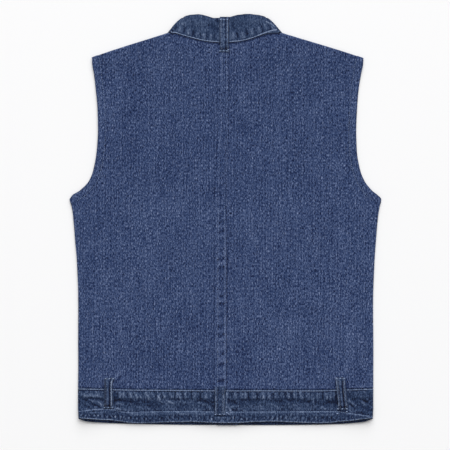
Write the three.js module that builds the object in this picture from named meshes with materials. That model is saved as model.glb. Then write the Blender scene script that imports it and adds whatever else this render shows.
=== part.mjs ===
import * as THREE from 'three';

// A sleeveless denim vest with a stand collar, laid flat and face down.
// The two fronts lie on the surface (z = 0) and the back lies on them, facing
// up. Millimetres. +X is the wearer's right, +Y is towards the collar, +Z up.

// ---------- sizes ----------
const CLOTH = 1.2;          // one layer of denim
const BAND = 2.0;           // collar, waistband and loops, two layers
const GAP = 0.3;            // clearance at seams and between layers
const TURN = 8;             // the back runs this far round onto the front side
const FOLD_STEPS = 6;       // facets round each folded edge

const ARMPIT_Y = 37;        // foot of the armholes, at the side folds
const ARMPIT_DIP = 3;       // how far their edge dips where it goes round the fold
const NECK_X = -1.0;        // middle of the neck
const NECK_HALF = 98.2;     // half width of the neck at the shoulder folds
const NECK_Y = 327.6;       // where the neck seam crosses the shoulder folds
const NECK_END = 96;        // half width where the seam leaves the upper side
const SHOULDER_BOW = 1.1;   // the shoulders are this much rounded
const COLLAR_H = 42;        // width of the collar band
const COLLAR_END = 1.5;     // each collar end stops this far from centre front
const SEAM_SLANT = 6;       // shift of the neck seam along the shoulder, round the fold
const FRONT_LAP = 15;       // each front runs this far past centre front
const LAP_RAMP = 8;         // width of the slope beside a lapped edge

// heights of the middle of each layer
const FRONT_Z = CLOTH / 2;
const BAND_FRONT_Z = BAND / 2;
const BACK_Z = 2.7;         // back, where it lies on the fronts
const SIDE_LIFT = 1.3;      // extra height of the back at its folded edges
const LAP_LIFT = 1.1;       // extra height over the lapped fronts
const FOLD_REACH = 25;      // width of the rise beside a folded edge
const LAP_REACH = 45;       // half width of the rise over the lapped fronts
const WAIST_REACH = 45;     // the back climbs to the waistband over this length
const NECK_REACH = 85;      // and to the collar over this one

// outline at the sides, from the waist to the armpits
const SIDE = [
  { y: -302, left: -258.2, right: 259.0 },
  { y: -245, left: -257.8, right: 259.1 },
  { y: -140, left: -257.8, right: 258.9 },
  { y: -77, left: -259.9, right: 261.0 },
  { y: -35, left: -263.6, right: 264.0 },
  { y: 7, left: -267.1, right: 267.6 },
  { y: 23, left: -269.2, right: 270.1 },
  { y: 37, left: -272.4, right: 272.4 },
];
// armhole edge of the back, from the armpits to the shoulder tips
const ARMHOLE = [
  { y: 37, left: -271.0, right: 271.0 },
  { y: 42, left: -268.7, right: 267.6 },
  { y: 51, left: -254.9, right: 256.6 },
  { y: 68, left: -238.8, right: 243.5 },
  { y: 86, left: -231.6, right: 236.3 },
  { y: 121, left: -225.3, right: 230.2 },
  { y: 156, left: -223.2, right: 229.1 },
  { y: 191, left: -223.9, right: 230.5 },
  { y: 226, left: -226.9, right: 233.2 },
  { y: 261, left: -230.9, right: 238.6 },
  { y: 284, left: -233.9, right: 241.7 },
];
const TIP = { left: { x: -233.5, y: 283.9 }, right: { x: 241.3, y: 282.7 } };

// back neck seam
const NECK_SEAM = [
  { x: -92, y: 326.6 }, { x: -64, y: 318.4 }, { x: -41, y: 312.5 },
  { x: -20, y: 309.8 }, { x: -2, y: 309.2 }, { x: 20, y: 310.4 },
  { x: 40, y: 314.2 }, { x: 62, y: 321.4 }, { x: 89.2, y: 327.2 },
];
// top edge of the collar's back, between its two folds
const COLLAR_TOP = [
  { x: -76, y: 352.6 }, { x: -72.5, y: 354.8 }, { x: -62, y: 358.1 },
  { x: -48, y: 359.3 }, { x: -34, y: 356.7 }, { x: -20, y: 352.7 },
  { x: -13, y: 353.0 }, { x: 1, y: 354.6 }, { x: 15, y: 356.6 },
  { x: 29, y: 358.9 }, { x: 43, y: 359.8 }, { x: 57, y: 358.2 },
  { x: 64, y: 356.6 }, { x: 70, y: 354.6 }, { x: 72.5, y: 353.0 },
];
// folds of the collar: height in the band (0 to 1), x of each fold, y, and the
// direction in which it bulges, out to the side and up towards the collar
const COLLAR_FOLD = [
  { h: 0, left: -95.5, right: 93.6, y: 326.9, out: 0.31, up: 0.95 },
  { h: 0.08, left: -94.2, right: 92.0, y: 329.6, out: 0.72, up: 0.69 },
  { h: 0.27, left: -90.1, right: 87.7, y: 334.9, out: 0.75, up: 0.66 },
  { h: 0.45, left: -86.7, right: 83.9, y: 340.1, out: 0.77, up: 0.64 },
  { h: 0.66, left: -82.0, right: 79.3, y: 345.4, out: 0.80, up: 0.50 },
  { h: 0.85, left: -77.7, right: 75.3, y: 349.4, out: 0.82, up: 0.22 },
  { h: 1, left: -74.8, right: 72.2, y: 352.9, out: 0.80, up: -0.50 },
];
// waistband: its top seam and the lower edges of the back and of the fronts
const BAND_EDGES = [
  { x: -258, seam: -295.0, back: -346.8, front: -348.2 },
  { x: -250, seam: -295.3, back: -348.4, front: -352.0 },
  { x: -232, seam: -295.7, back: -349.6, front: -354.6 },
  { x: -205, seam: -296.4, back: -351.2, front: -356.4 },
  { x: -170, seam: -297.2, back: -354.0, front: -357.9 },
  { x: -120, seam: -297.7, back: -355.2, front: -358.9 },
  { x: -45, seam: -298.2, back: -355.8, front: -359.8 },
  { x: 60, seam: -298.4, back: -356.0, front: -360.1 },
  { x: 130, seam: -298.6, back: -356.0, front: -359.8 },
  { x: 160, seam: -298.6, back: -355.5, front: -359.4 },
  { x: 205, seam: -297.2, back: -352.9, front: -357.8 },
  { x: 230, seam: -296.4, back: -350.8, front: -355.6 },
  { x: 245, seam: -296.0, back: -349.0, front: -353.6 },
  { x: 259, seam: -295.6, back: -347.4, front: -348.9 },
];
// centre-back seam: the hidden edge below and the lapped edge on top
const CENTRE_LAP = [
  { y: -305, under: -17.0, over: 1.6 },
  { y: 35, under: -16.0, over: 1.9 },
  { y: 210, under: -9.3, over: 5.4 },
  { y: 330, under: -8.8, over: 5.6 },
];
// straps: centre and half width at both ends, and the rise of the middle
const STRAPS = [
  { name: 'belt_loop_left', top: { x: -204.6, y: -277.6 }, foot: { x: -204.6, y: -329.0 }, half: 7.2, arch: 1.4 },
  { name: 'belt_loop_centre', top: { x: -9.6, y: -291.0 }, foot: { x: -9.9, y: -341.2 }, half: 8.2, arch: 0.8 },
  { name: 'belt_loop_right', top: { x: 201.6, y: -275.6 }, foot: { x: 205.2, y: -331.0 }, half: 8.4, arch: 1.4 },
  { name: 'collar_loop', top: { x: -2.4, y: 354.6 }, foot: { x: -1.6, y: 295.4 }, half: 7.2, arch: 1.0 },
];

// ---------- curves ----------
// smooth curve through a table's rows, without overshoot
function through(rows, key, value) {
  const t = rows.map((r) => r[key]);
  const v = rows.map((r) => r[value]);
  const last = rows.length - 1;
  const rise = [];
  for (let i = 0; i < last; i++) rise.push((v[i + 1] - v[i]) / (t[i + 1] - t[i]));
  const slope = v.map((_, i) => {
    if (i === 0) return rise[0];
    if (i === last) return rise[last - 1];
    return rise[i - 1] * rise[i] <= 0 ? 0 : (2 * rise[i - 1] * rise[i]) / (rise[i - 1] + rise[i]);
  });
  return (at) => {
    if (at <= t[0]) return v[0];
    if (at >= t[last]) return v[last];
    let i = 0;
    while (at > t[i + 1]) i++;
    const w = t[i + 1] - t[i];
    const s = (at - t[i]) / w;
    const s2 = s * s;
    const s3 = s2 * s;
    return v[i] * (2 * s3 - 3 * s2 + 1) + slope[i] * w * (s3 - 2 * s2 + s)
      + v[i + 1] * (3 * s2 - 2 * s3) + slope[i + 1] * w * (s3 - s2);
  };
}
const clamp = (s) => Math.min(1, Math.max(0, s));
const smooth = (s) => { const c = clamp(s); return c * c * (3 - 2 * c); };
const mix = (a, b, s) => a + (b - a) * s;
const steps = (n, from = 0, to = 1) => Array.from({ length: n + 1 }, (_, i) => mix(from, to, i / n));
const bell = (s) => Math.exp(-s * s);

const outline = { left: through(SIDE, 'y', 'left'), right: through(SIDE, 'y', 'right') };
const armhole = { left: through(ARMHOLE, 'y', 'left'), right: through(ARMHOLE, 'y', 'right') };
const neckSeam = through(NECK_SEAM, 'x', 'y');
const collarTop = through(COLLAR_TOP, 'x', 'y');
const bandSeam = through(BAND_EDGES, 'x', 'seam');
const backHem = through(BAND_EDGES, 'x', 'back');
const frontHem = through(BAND_EDGES, 'x', 'front');
const lapUnder = through(CENTRE_LAP, 'y', 'under');
const lapOver = through(CENTRE_LAP, 'y', 'over');
const foldX = { left: through(COLLAR_FOLD, 'h', 'left'), right: through(COLLAR_FOLD, 'h', 'right') };
const foldY = through(COLLAR_FOLD, 'h', 'y');
const foldOut = through(COLLAR_FOLD, 'h', 'out');
const foldUp = through(COLLAR_FOLD, 'h', 'up');
const sign = { left: -1, right: 1 };

// unit vectors along a shoulder, from the neck to the tip, and out across it
function shoulder(side) {
  const neck = { x: NECK_X + sign[side] * NECK_HALF, y: NECK_Y };
  const dx = TIP[side].x - neck.x;
  const dy = TIP[side].y - neck.y;
  const length = Math.hypot(dx, dy);
  const along = { x: dx / length, y: dy / length };
  return { neck, along, out: { x: -sign[side] * along.y * 1, y: sign[side] * along.x }, length };
}
const SHOULDER = { left: shoulder('left'), right: shoulder('right') };

// ---------- heights ----------
// middle of the waistband's back, and of the collar's back
const bandZ = (x) => mix(3.7, 5.2, bell((257 - Math.min(257, Math.abs(x))) / 32))
  + (5.9 - 3.7) * bell(Math.max(0, Math.abs(x) - 18) / 38);
const collarZ = (x) => mix(4.7, 5.4, smooth(Math.abs(x - NECK_X) / 70));
// middle of the back panels
function backZ(x, y) {
  const side = x < 0 ? 'left' : 'right';
  const s = SHOULDER[side];
  const toSide = Math.max(0, Math.abs(outline[side](y)) - 2.3 - Math.abs(x));
  const toShoulder = Math.max(0, -((x - s.neck.x) * s.out.x + (y - s.neck.y) * s.out.y) - 2.3);
  const below = smooth((ARMPIT_Y + 40 - y) / 60);
  const rise = Math.max(below * bell(toSide / FOLD_REACH), bell(toShoulder / FOLD_REACH));
  let z = BACK_Z + SIDE_LIFT * rise + LAP_LIFT * bell(Math.max(0, Math.abs(x) - 12) / LAP_REACH);
  z = mix(z, bandZ(x) - 0.3, smooth(1 - (y - bandSeam(x)) / WAIST_REACH));
  const off = Math.max(0, Math.abs(x - NECK_X) - NECK_HALF);
  const toNeck = Math.hypot(off, Math.max(0, neckSeam(x) - y));
  return mix(z, collarZ(x) - 0.2, smooth(1 - toNeck / NECK_REACH));
}
// extra height of the left half where it laps over the right half
const lapStep = (x, y) => (CLOTH + GAP) * smooth((x - lapUnder(y) + LAP_RAMP) / LAP_RAMP);
// middle of the right front, which steps over the left one's edge
const frontStep = (x, lift) => lift * smooth((FRONT_LAP + 2 + LAP_RAMP - x) / LAP_RAMP);

// ---------- sheets ----------
// A sheet is a net of points joined by four-sided cells. It becomes a wall of
// even thickness, closed at every free edge.
class Sheet {
  constructor() { this.points = []; this.cells = []; }

  add(x, y, z) { this.points.push([x, y, z]); return this.points.length - 1; }

  net(rows) {
    for (let i = 0; i + 1 < rows.length; i++) {
      for (let j = 0; j + 1 < rows[i].length; j++) {
        this.cells.push([rows[i][j], rows[i][j + 1], rows[i + 1][j + 1], rows[i + 1][j]]);
      }
    }
  }

  wall(thickness) {
    const n = this.points.length;
    const normal = Array.from({ length: n }, () => new THREE.Vector3());
    const p = this.points.map((q) => new THREE.Vector3(...q));
    const triangles = [];
    for (const [a, b, c, d] of this.cells) triangles.push([a, b, c], [a, c, d]);
    for (const [a, b, c] of triangles) {
      const face = p[b].clone().sub(p[a]).cross(p[c].clone().sub(p[a]));
      for (const k of [a, b, c]) normal[k].add(face);
    }
    const verts = [];
    for (const away of [1, -1]) {
      for (let k = 0; k < n; k++) {
        const q = p[k].clone().addScaledVector(normal[k].normalize(), (away * thickness) / 2);
        verts.push(q.x, q.y, Math.max(0, q.z));
      }
    }
    const index = [];
    const edges = new Set();
    for (const [a, b, c] of triangles) {
      index.push(a, b, c, n + c, n + b, n + a);
      for (const [u, v] of [[a, b], [b, c], [c, a]]) edges.add(`${u} ${v}`);
    }
    for (const edge of edges) {
      const [u, v] = edge.split(' ').map(Number);
      if (!edges.has(`${v} ${u}`)) index.push(v, u, n + u, v, n + u, n + v);
    }
    const geometry = new THREE.BufferGeometry();
    geometry.setAttribute('position', new THREE.Float32BufferAttribute(verts, 3));
    geometry.setIndex(index);
    geometry.computeVertexNormals();
    return geometry;
  }
}
// turn every cell over where the net came out facing the other way
function faceUp(sheet, flip) {
  if (flip) sheet.cells = sheet.cells.map((c) => [...c].reverse());
  return sheet;
}
// points round a fold, from the upper layer to the lower one
function foldPoint(start, end, bulge, zTop, zLow, k) {
  const angle = (Math.PI * k) / FOLD_STEPS;
  const across = (1 - Math.cos(angle)) / 2;
  return [
    mix(start.x, end.x, across) + bulge.x * Math.sin(angle),
    mix(start.y, end.y, across) + bulge.y * Math.sin(angle),
    mix(zTop, zLow, across),
  ];
}

// ---------- backs ----------
// heights of the rows at the side and armhole edge, and at the centre back
const BACK_ROWS = [
  { edge: -289, centre: -289 }, { edge: -280, centre: -280 }, { edge: -268, centre: -268 },
  { edge: -255, centre: -255 }, { edge: -236, centre: -236 }, { edge: -205, centre: -205 },
  { edge: -165, centre: -165 }, { edge: -122, centre: -122 }, { edge: -80, centre: -80 },
  { edge: -46, centre: -44 }, { edge: -14, centre: -9 }, { edge: 13, centre: 21 },
  { edge: 40, centre: 48 }, { edge: 44, centre: 58 }, { edge: 51, centre: 71 },
  { edge: 67, centre: 90 }, { edge: 88, centre: 113 }, { edge: 119, centre: 145 },
  { edge: 154, centre: 180 }, { edge: 190, centre: 216 }, { edge: 224, centre: 250 },
  { edge: 254, centre: 282 },
];
// columns as shares of the width, outside the lapped strip
const TO_NECK = 4;          // columns from the lap to the shoulder's neck end
const TO_SIDE = 5;          // columns from there to the side

function foldCentre(side, y) {
  // the side fold's axis, and its radius, at one height
  const rough = outline[side](y);
  const zTop = backZ(rough - sign[side] * 2.3, y);
  const radius = (zTop - FRONT_Z) / 2;
  return { x: rough - sign[side] * (radius + CLOTH / 2), y, radius, zTop };
}
function shoulderCentre(side, x) {
  // the shoulder fold's axis, and its radius, at one x
  const s = SHOULDER[side];
  const share = clamp((x - s.neck.x) / (TIP[side].x - s.neck.x));
  const onLine = s.neck.y + ((x - s.neck.x) * s.along.y) / s.along.x + 4 * SHOULDER_BOW * share * (1 - share);
  const zTop = backZ(x, onLine - 2.6);
  const radius = (zTop - FRONT_Z) / 2;
  return { x, y: onLine - (radius + CLOTH / 2) / Math.abs(s.out.y), radius, zTop };
}
// where the neck seam reaches the shoulder fold, on the upper side
const neckEndX = (side) => NECK_X + sign[side] * NECK_END;
const backTop = (side, x) => (Math.abs(x - NECK_X) < NECK_END - 0.1
  ? mix(neckSeam(x), shoulderCentre(side, neckEndX(side)).y, smooth((Math.abs(x - NECK_X) - NECK_END + 18) / 18))
  : shoulderCentre(side, x).y);

function back(side) {
  const s = sign[side];
  const inner = side === 'left' ? lapOver : lapUnder;
  const tipX = TIP[side].x;
  const topInner = { x: inner(320), y: 0 };
  topInner.y = backTop(side, topInner.x);
  const tip = shoulderCentre(side, tipX);
  // rows, from the waist to the neck and shoulder
  const rows = [];
  const waistX = (x) => ({ x, y: bandSeam(x) + GAP });
  const edgePoint = (y) => {
    if (y <= ARMPIT_Y + ARMPIT_DIP) { const c = foldCentre(side, Math.min(y, ARMPIT_Y)); return { x: c.x, y }; }
    return { x: armhole[side](y), y };
  };
  const levels = [
    { edge: edgePoint(bandSeam(outline[side](-298)) + GAP), centre: waistX(inner(-300)) },
    ...BACK_ROWS.map((r) => ({ edge: edgePoint(r.edge), centre: { x: inner(r.centre), y: r.centre } })),
    { edge: { x: tip.x, y: tip.y }, centre: topInner },
  ];
  const shareNeck = (neckEndX(side) - topInner.x) / (tip.x - topInner.x);
  const top = levels[levels.length - 1];
  const sheet = new Sheet();
  const net = [];
  const at = [];
  levels.forEach((level, i) => {
    const width = Math.abs(level.edge.x - level.centre.x);
    const shares = [0];
    if (side === 'left') {
      const lap = lapOver(level.centre.y) - lapUnder(level.centre.y);
      shares.push(lap / width, (lap + LAP_RAMP) / width);
    } else {
      shares.push(14 / width);
    }
    const first = shares[shares.length - 1];
    for (const q of steps(TO_NECK, first, shareNeck).slice(1)) shares.push(q);
    for (const q of steps(TO_SIDE, shareNeck, 1).slice(1)) shares.push(q);
    const pull = smooth((level.centre.y - 150) / 160);
    at.push(shares.map((u) => {
      const x = mix(level.centre.x, level.edge.x, u);
      const xTop = mix(top.centre.x, top.edge.x, u);
      let y = mix(level.centre.y, level.edge.y, u);
      y += pull * (backTop(side, xTop) - mix(top.centre.y, top.edge.y, u));
      if (i === 0) y = waistX(x).y;
      return { x, y };
    }));
  });
  at.forEach((points) => {
    net.push(points.map(({ x, y }) => sheet.add(x, y, backZ(x, y) + (side === 'left' ? lapStep(x, y) : 0))));
  });
  sheet.net(net);
  // side fold: rows up to the armpit
  const sideRows = BACK_ROWS.findIndex((r) => r.edge === ARMPIT_Y + ARMPIT_DIP) + 1;
  const wrap = [];
  for (let i = 0; i <= sideRows; i++) {
    const edge = net[i][net[i].length - 1];
    const [x, y, z] = sheet.points[edge];
    const radius = (z - FRONT_Z) / 2;
    const row = [edge];
    for (let k = 1; k <= FOLD_STEPS; k++) {
      const dip = i === sideRows ? -ARMPIT_DIP : 0;
      row.push(sheet.add(...foldPoint({ x, y }, { x, y }, { x: s * radius, y: dip }, z, FRONT_Z, k)));
    }
    row.push(sheet.add(x - s * TURN, y + (i === sideRows ? 2 : 0), FRONT_Z));
    wrap.push(row);
  }
  sheet.net(wrap);
  // shoulder fold: columns from the neck to the tip
  const sh = SHOULDER[side];
  const topRow = net[net.length - 1];
  const firstCol = topRow.length - 1 - TO_SIDE;
  const over = [topRow.slice(firstCol)];
  for (let k = 1; k <= FOLD_STEPS + 1; k++) over.push([]);
  for (let j = firstCol; j < topRow.length; j++) {
    const [x, y, z] = sheet.points[topRow[j]];
    const radius = (z - FRONT_Z) / 2;
    const slant = j === firstCol ? SEAM_SLANT : 0;
    const end = { x: x + sh.along.x * slant, y: y + sh.along.y * slant };
    const bulge = { x: sh.out.x * radius, y: sh.out.y * radius };
    for (let k = 1; k <= FOLD_STEPS; k++) {
      over[k].push(sheet.add(...foldPoint({ x, y }, end, bulge, z, FRONT_Z, k)));
    }
    over[FOLD_STEPS + 1].push(sheet.add(end.x - sh.out.x * TURN, end.y - sh.out.y * TURN, FRONT_Z));
  }
  sheet.net(over);
  return faceUp(sheet, side === 'left').wall(CLOTH);
}

// ---------- collar ----------
// The neckline on the front side, from the shoulder fold (0) to centre front
// (1): distance from the middle of the neck, and y below the shoulder fold.
const FRONT_NECK = [
  { s: 0.00, x: 101.7, y: 0 },
  { s: 0.06, x: 99.0, y: -7.6 },
  { s: 0.20, x: 94.0, y: -27 },
  { s: 0.36, x: 83.0, y: -46 },
  { s: 0.54, x: 63.5, y: -60 },
  { s: 0.76, x: 34.5, y: -67.5 },
  { s: 1.00, x: 0.0, y: -69.5 },
];
const frontNeckX = through(FRONT_NECK, 's', 'x');
const frontNeckY = through(FRONT_NECK, 's', 'y');
// the seam line, moved in by some distance for the collar's edge
function frontNeck(side, s, inward = 0) {
  const sh = SHOULDER[side];
  const y0 = shoulderCentre(side, neckEndX(side)).y + sh.along.y * SEAM_SLANT;
  const near = [Math.max(0, s - 0.01), Math.min(1, s + 0.01)];
  const dx = frontNeckX(near[1]) - frontNeckX(near[0]);
  const dy = frontNeckY(near[1]) - frontNeckY(near[0]);
  const length = Math.hypot(dx, dy);
  return {
    x: NECK_X + sign[side] * (frontNeckX(s) + (inward * dy) / length),
    y: y0 + frontNeckY(s) - (inward * dx) / length,
  };
}

const SEAM_GAP = 0.6;       // clearance round the curved neck seam
const FOLD_GAP = 2.1;       // and where it goes round the folds
const COLLAR_ROWS = 3;
const COLLAR_BACK = 16;
const COLLAR_FRONT = 10;

// fold of the collar at one height: its start on the back, its end on the
// front, and the direction in which it bulges
function collarFold(side, h) {
  const start = { x: foldX[side](h), y: foldY(h) };
  const low = frontNeck(side, 0, FOLD_GAP);
  const s = smooth(h * 1.2);
  return {
    start,
    end: { x: mix(low.x, start.x, s), y: mix(low.y, start.y, s) },
    bulge: { x: sign[side] * foldOut(h), y: foldUp(h) },
  };
}
// one point of the collar's front half: q from the fold to centre front
function collarFront(side, h, q) {
  if (q === 0) return collarFold(side, h).end;
  const low = collarFold(side, 0).end;
  const high = collarFold(side, 1).end;
  const seam = frontNeck(side, q, SEAM_GAP);
  const lean = mix(Math.atan2(high.y - low.y, Math.abs(high.x - low.x)), Math.PI / 2, q ** 0.8);
  const width = mix(Math.hypot(high.x - low.x, high.y - low.y), COLLAR_H, smooth(q * 3)) * h;
  const x = seam.x - sign[side] * Math.cos(lean) * width;
  return { x: q === 1 ? NECK_X + sign[side] * COLLAR_END : x, y: seam.y + Math.sin(lean) * width };
}

function collar() {
  const sheet = new Sheet();
  const flat = (p) => sheet.add(p.x, p.y, BAND_FRONT_Z);
  const net = steps(COLLAR_ROWS).map((h) => {
    const left = collarFold('left', h);
    const right = collarFold('right', h);
    const bend = (f, k) => {
      const z = collarZ(f.start.x);
      const r = (z - BAND_FRONT_Z) / 2;
      return sheet.add(...foldPoint(f.start, f.end, { x: f.bulge.x * r, y: f.bulge.y * r }, z, BAND_FRONT_Z, k));
    };
    const row = steps(COLLAR_FRONT, 1, 0).map((q) => flat(collarFront('left', h, q)));
    for (let k = FOLD_STEPS - 1; k >= 1; k--) row.push(bend(left, k));
    for (const q of steps(COLLAR_BACK)) {
      const x = mix(left.start.x, right.start.x, q);
      const seam = backTop(x < NECK_X ? 'left' : 'right', x) + SEAM_GAP;
      const ends = q === 0 ? left.start.y : right.start.y;
      row.push(sheet.add(x, q === 0 || q === 1 ? ends : mix(seam, collarTop(x), h), collarZ(x)));
    }
    for (let k = 1; k < FOLD_STEPS; k++) row.push(bend(right, k));
    for (const q of steps(COLLAR_FRONT)) row.push(flat(collarFront('right', h, q)));
    return row;
  });
  sheet.net(net);
  return faceUp(sheet, false).wall(BAND);
}

// ---------- fronts ----------
// rows from the waist to the armpit, then up the armhole; on the centre side
// they climb the edge and then follow the neckline (s, from 1 at the middle)
const FRONT_ROWS = [
  { edge: -205, centre: -205 }, { edge: -165, centre: -165 }, { edge: -122, centre: -120 },
  { edge: -80, centre: -72 }, { edge: -46, centre: -33 }, { edge: -14, centre: 5 },
  { edge: 13, centre: 38 }, { edge: 42, centre: 76 },
  { edge: 45, centre: 100 }, { edge: 52, centre: 120 }, { edge: 67, centre: 145 },
  { edge: 88, centre: 175 }, { edge: 120, centre: 215 },
];
const NECK_ROWS = [
  { edge: 150, s: 1.2 }, { edge: 164, s: 1 }, { edge: 178, s: 0.9 }, { edge: 190, s: 0.8 },
  { edge: 203, s: 0.7 }, { edge: 216, s: 0.6 }, { edge: 228, s: 0.5 }, { edge: 240, s: 0.4 },
  { edge: 250, s: 0.3 }, { edge: 260, s: 0.2 }, { edge: 268, s: 0.1 },
];
const FRONT_COLUMNS = 5;
const ARM_SCOOP = 11;       // the front armhole is cut this much deeper
const ARM_INSET = 3.5;

function front(side) {
  const s = sign[side];
  const other = side === 'left' ? 'right' : 'left';
  const sh = SHOULDER[side];
  const inner = -s * FRONT_LAP;
  const seamAt = (x) => bandSeam(x) + GAP;
  // side edge, against the end of the back's turned edge
  const sideX = (y) => foldCentre(side, y).x - s * (TURN + GAP);
  const armX = (y) => armhole[side](y) - s * (ARM_INSET + ARM_SCOOP * Math.sin(Math.PI * clamp((y - 44) / 230)));
  // neckline point: past the middle it runs on over the other half
  const neckAt = (q) => {
    if (q > 1) {
      const x = inner;
      const t = 1 - (Math.abs(x - NECK_X) / 34) * 0.24;
      return { x, y: frontNeck(other, t).y };
    }
    return frontNeck(side, q);
  };
  const tip = shoulderCentre(side, TIP[side].x);
  const inset = TURN + GAP;
  const tipEnd = { x: tip.x - sh.out.x * inset - sh.along.x * 2.5, y: tip.y - sh.out.y * inset - sh.along.y * 2.5 };
  const neckStart = frontNeck(side, 0);
  const neckEnd = { x: neckStart.x - sh.out.x * inset, y: neckStart.y - sh.out.y * inset };
  const rows = [{ edge: { x: sideX(-297), y: seamAt(sideX(-297)) }, centre: { x: inner, y: seamAt(inner) } }];
  for (const r of FRONT_ROWS) {
    rows.push({ edge: { x: r.edge <= 42 ? sideX(Math.min(r.edge, ARMPIT_Y)) : armX(r.edge), y: r.edge }, centre: { x: inner, y: r.centre } });
  }
  for (const r of NECK_ROWS) rows.push({ edge: { x: armX(r.edge), y: r.edge }, centre: neckAt(r.s) });
  rows.push({ edge: tipEnd, centre: neckEnd });
  const sheet = new Sheet();
  const foot = FRONT_LAP + 2;
  const net = rows.map((r, i) => {
    const width = Math.abs(r.edge.x - r.centre.x);
    const start = s * r.centre.x;
    const first = Math.max(start + 3, foot);
    const second = Math.max(first + 3, foot + LAP_RAMP);
    const shares = [0, (first - start) / width, (second - start) / width];
    for (const q of steps(FRONT_COLUMNS, shares[2], 1).slice(1)) shares.push(q);
    return shares.map((u) => {
      const x = mix(r.centre.x, r.edge.x, u);
      const y = i === 0 ? seamAt(x) : mix(r.centre.y, r.edge.y, u);
      const lift = side === 'right' ? frontStep(x, CLOTH + GAP) : 0;
      return sheet.add(x, y, FRONT_Z + lift);
    });
  });
  sheet.net(net);
  return faceUp(sheet, side === 'left').wall(CLOTH);
}

// ---------- waistband ----------
const BAND_ROWS = [0, 0.4, 0.8, 1];
const BAND_COLUMNS = 22;
function bandFold(side) {
  const rough = outline[side](-320);
  const radius = (bandZ(257) - BAND_FRONT_Z) / 2;
  return { x: rough - sign[side] * (radius + BAND / 2), radius };
}
function waistbandBack() {
  const sheet = new Sheet();
  const left = bandFold('left');
  const right = bandFold('right');
  const net = BAND_ROWS.map((v) => {
    const bend = (side, f, k) => {
      const start = { x: f.x, y: mix(bandSeam(f.x), backHem(f.x), v) };
      const end = { x: f.x, y: mix(bandSeam(f.x), frontHem(f.x), v) };
      return sheet.add(...foldPoint(start, end, { x: sign[side] * f.radius, y: 0 }, bandZ(f.x), BAND_FRONT_Z, k));
    };
    const tail = (side, f) => {
      const x = f.x - sign[side] * TURN;
      return sheet.add(x, mix(bandSeam(x), frontHem(x), v), BAND_FRONT_Z);
    };
    const row = [tail('left', left)];
    for (let k = FOLD_STEPS; k >= 1; k--) row.push(bend('left', left, k));
    for (const q of steps(BAND_COLUMNS)) {
      const x = mix(left.x, right.x, q);
      row.push(sheet.add(x, mix(bandSeam(x), backHem(x), v), bandZ(x)));
    }
    for (let k = 1; k <= FOLD_STEPS; k++) row.push(bend('right', right, k));
    row.push(tail('right', right));
    return row;
  });
  sheet.net(net);
  return faceUp(sheet, true).wall(BAND);
}
function waistbandFront(side) {
  const s = sign[side];
  const sheet = new Sheet();
  const outer = bandFold(side).x - s * (TURN + GAP);
  const foot = FRONT_LAP + 2;
  const places = [-FRONT_LAP, foot, foot + LAP_RAMP, 45, 90, 135, 170, 205, 230].map((d) => s * d);
  places.push(outer);
  const net = [0, 0.5, 1].map((v) => places.map((x) => {
    const lift = side === 'right' ? frontStep(x, BAND + GAP) : 0;
    return sheet.add(x, mix(bandSeam(x), frontHem(x), v), BAND_FRONT_Z + lift);
  }));
  sheet.net(net);
  return faceUp(sheet, side === 'right').wall(BAND);
}

// ---------- straps ----------
const STRAP_ROWS = 10;
// highest point of what lies under a strap, at one place
function under(x, y) {
  let top = 0;
  if (y > neckSeam(x)) top = collarZ(x) + BAND / 2;
  else if (y < bandSeam(x)) top = bandZ(x) + BAND / 2;
  else top = backZ(x, y) + lapStep(x, y) * (x < lapOver(y) ? 1 : 0) + CLOTH / 2;
  return top;
}
function strap({ top, foot, half, arch }) {
  const sheet = new Sheet();
  const net = steps(STRAP_ROWS).map((q) => {
    const x = mix(top.x, foot.x, q);
    const y = mix(top.y, foot.y, q);
    const below = [-1, -0.5, 0, 0.5, 1].flatMap((a) => [-6, -3, 0, 3, 6].map((d) => under(x + a * half, y + d)));
    const z = Math.max(...below) + GAP + BAND / 2 + arch * Math.sin(Math.PI * q);
    return [-1, 0, 1].map((a) => sheet.add(x + a * half, y, z));
  });
  sheet.net(net);
  return faceUp(sheet, true).wall(BAND);
}

// ---------- the vest ----------
const denim = (colour) => new THREE.MeshStandardMaterial({ color: colour, roughness: 0.92, metalness: 0 });
const BODY_DENIM = denim(0x3c4a6d);
const BAND_DENIM = denim(0x35415c);

const group = new THREE.Group();
function piece(name, geometry, material) {
  const mesh = new THREE.Mesh(geometry, material);
  mesh.name = name;
  group.add(mesh);
}
piece('back_left', back('left'), BODY_DENIM);
piece('back_right', back('right'), BODY_DENIM);
piece('front_left', front('left'), BODY_DENIM);
piece('front_right', front('right'), BODY_DENIM);
piece('collar', collar(), BAND_DENIM);
piece('waistband_back', waistbandBack(), BAND_DENIM);
piece('waistband_front_left', waistbandFront('left'), BAND_DENIM);
piece('waistband_front_right', waistbandFront('right'), BAND_DENIM);
for (const s of STRAPS) piece(s.name, strap(s), BAND_DENIM);

export default group;
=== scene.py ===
import math

import bpy
import numpy as np
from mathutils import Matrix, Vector
from mathutils.bvhtree import BVHTree


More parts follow.
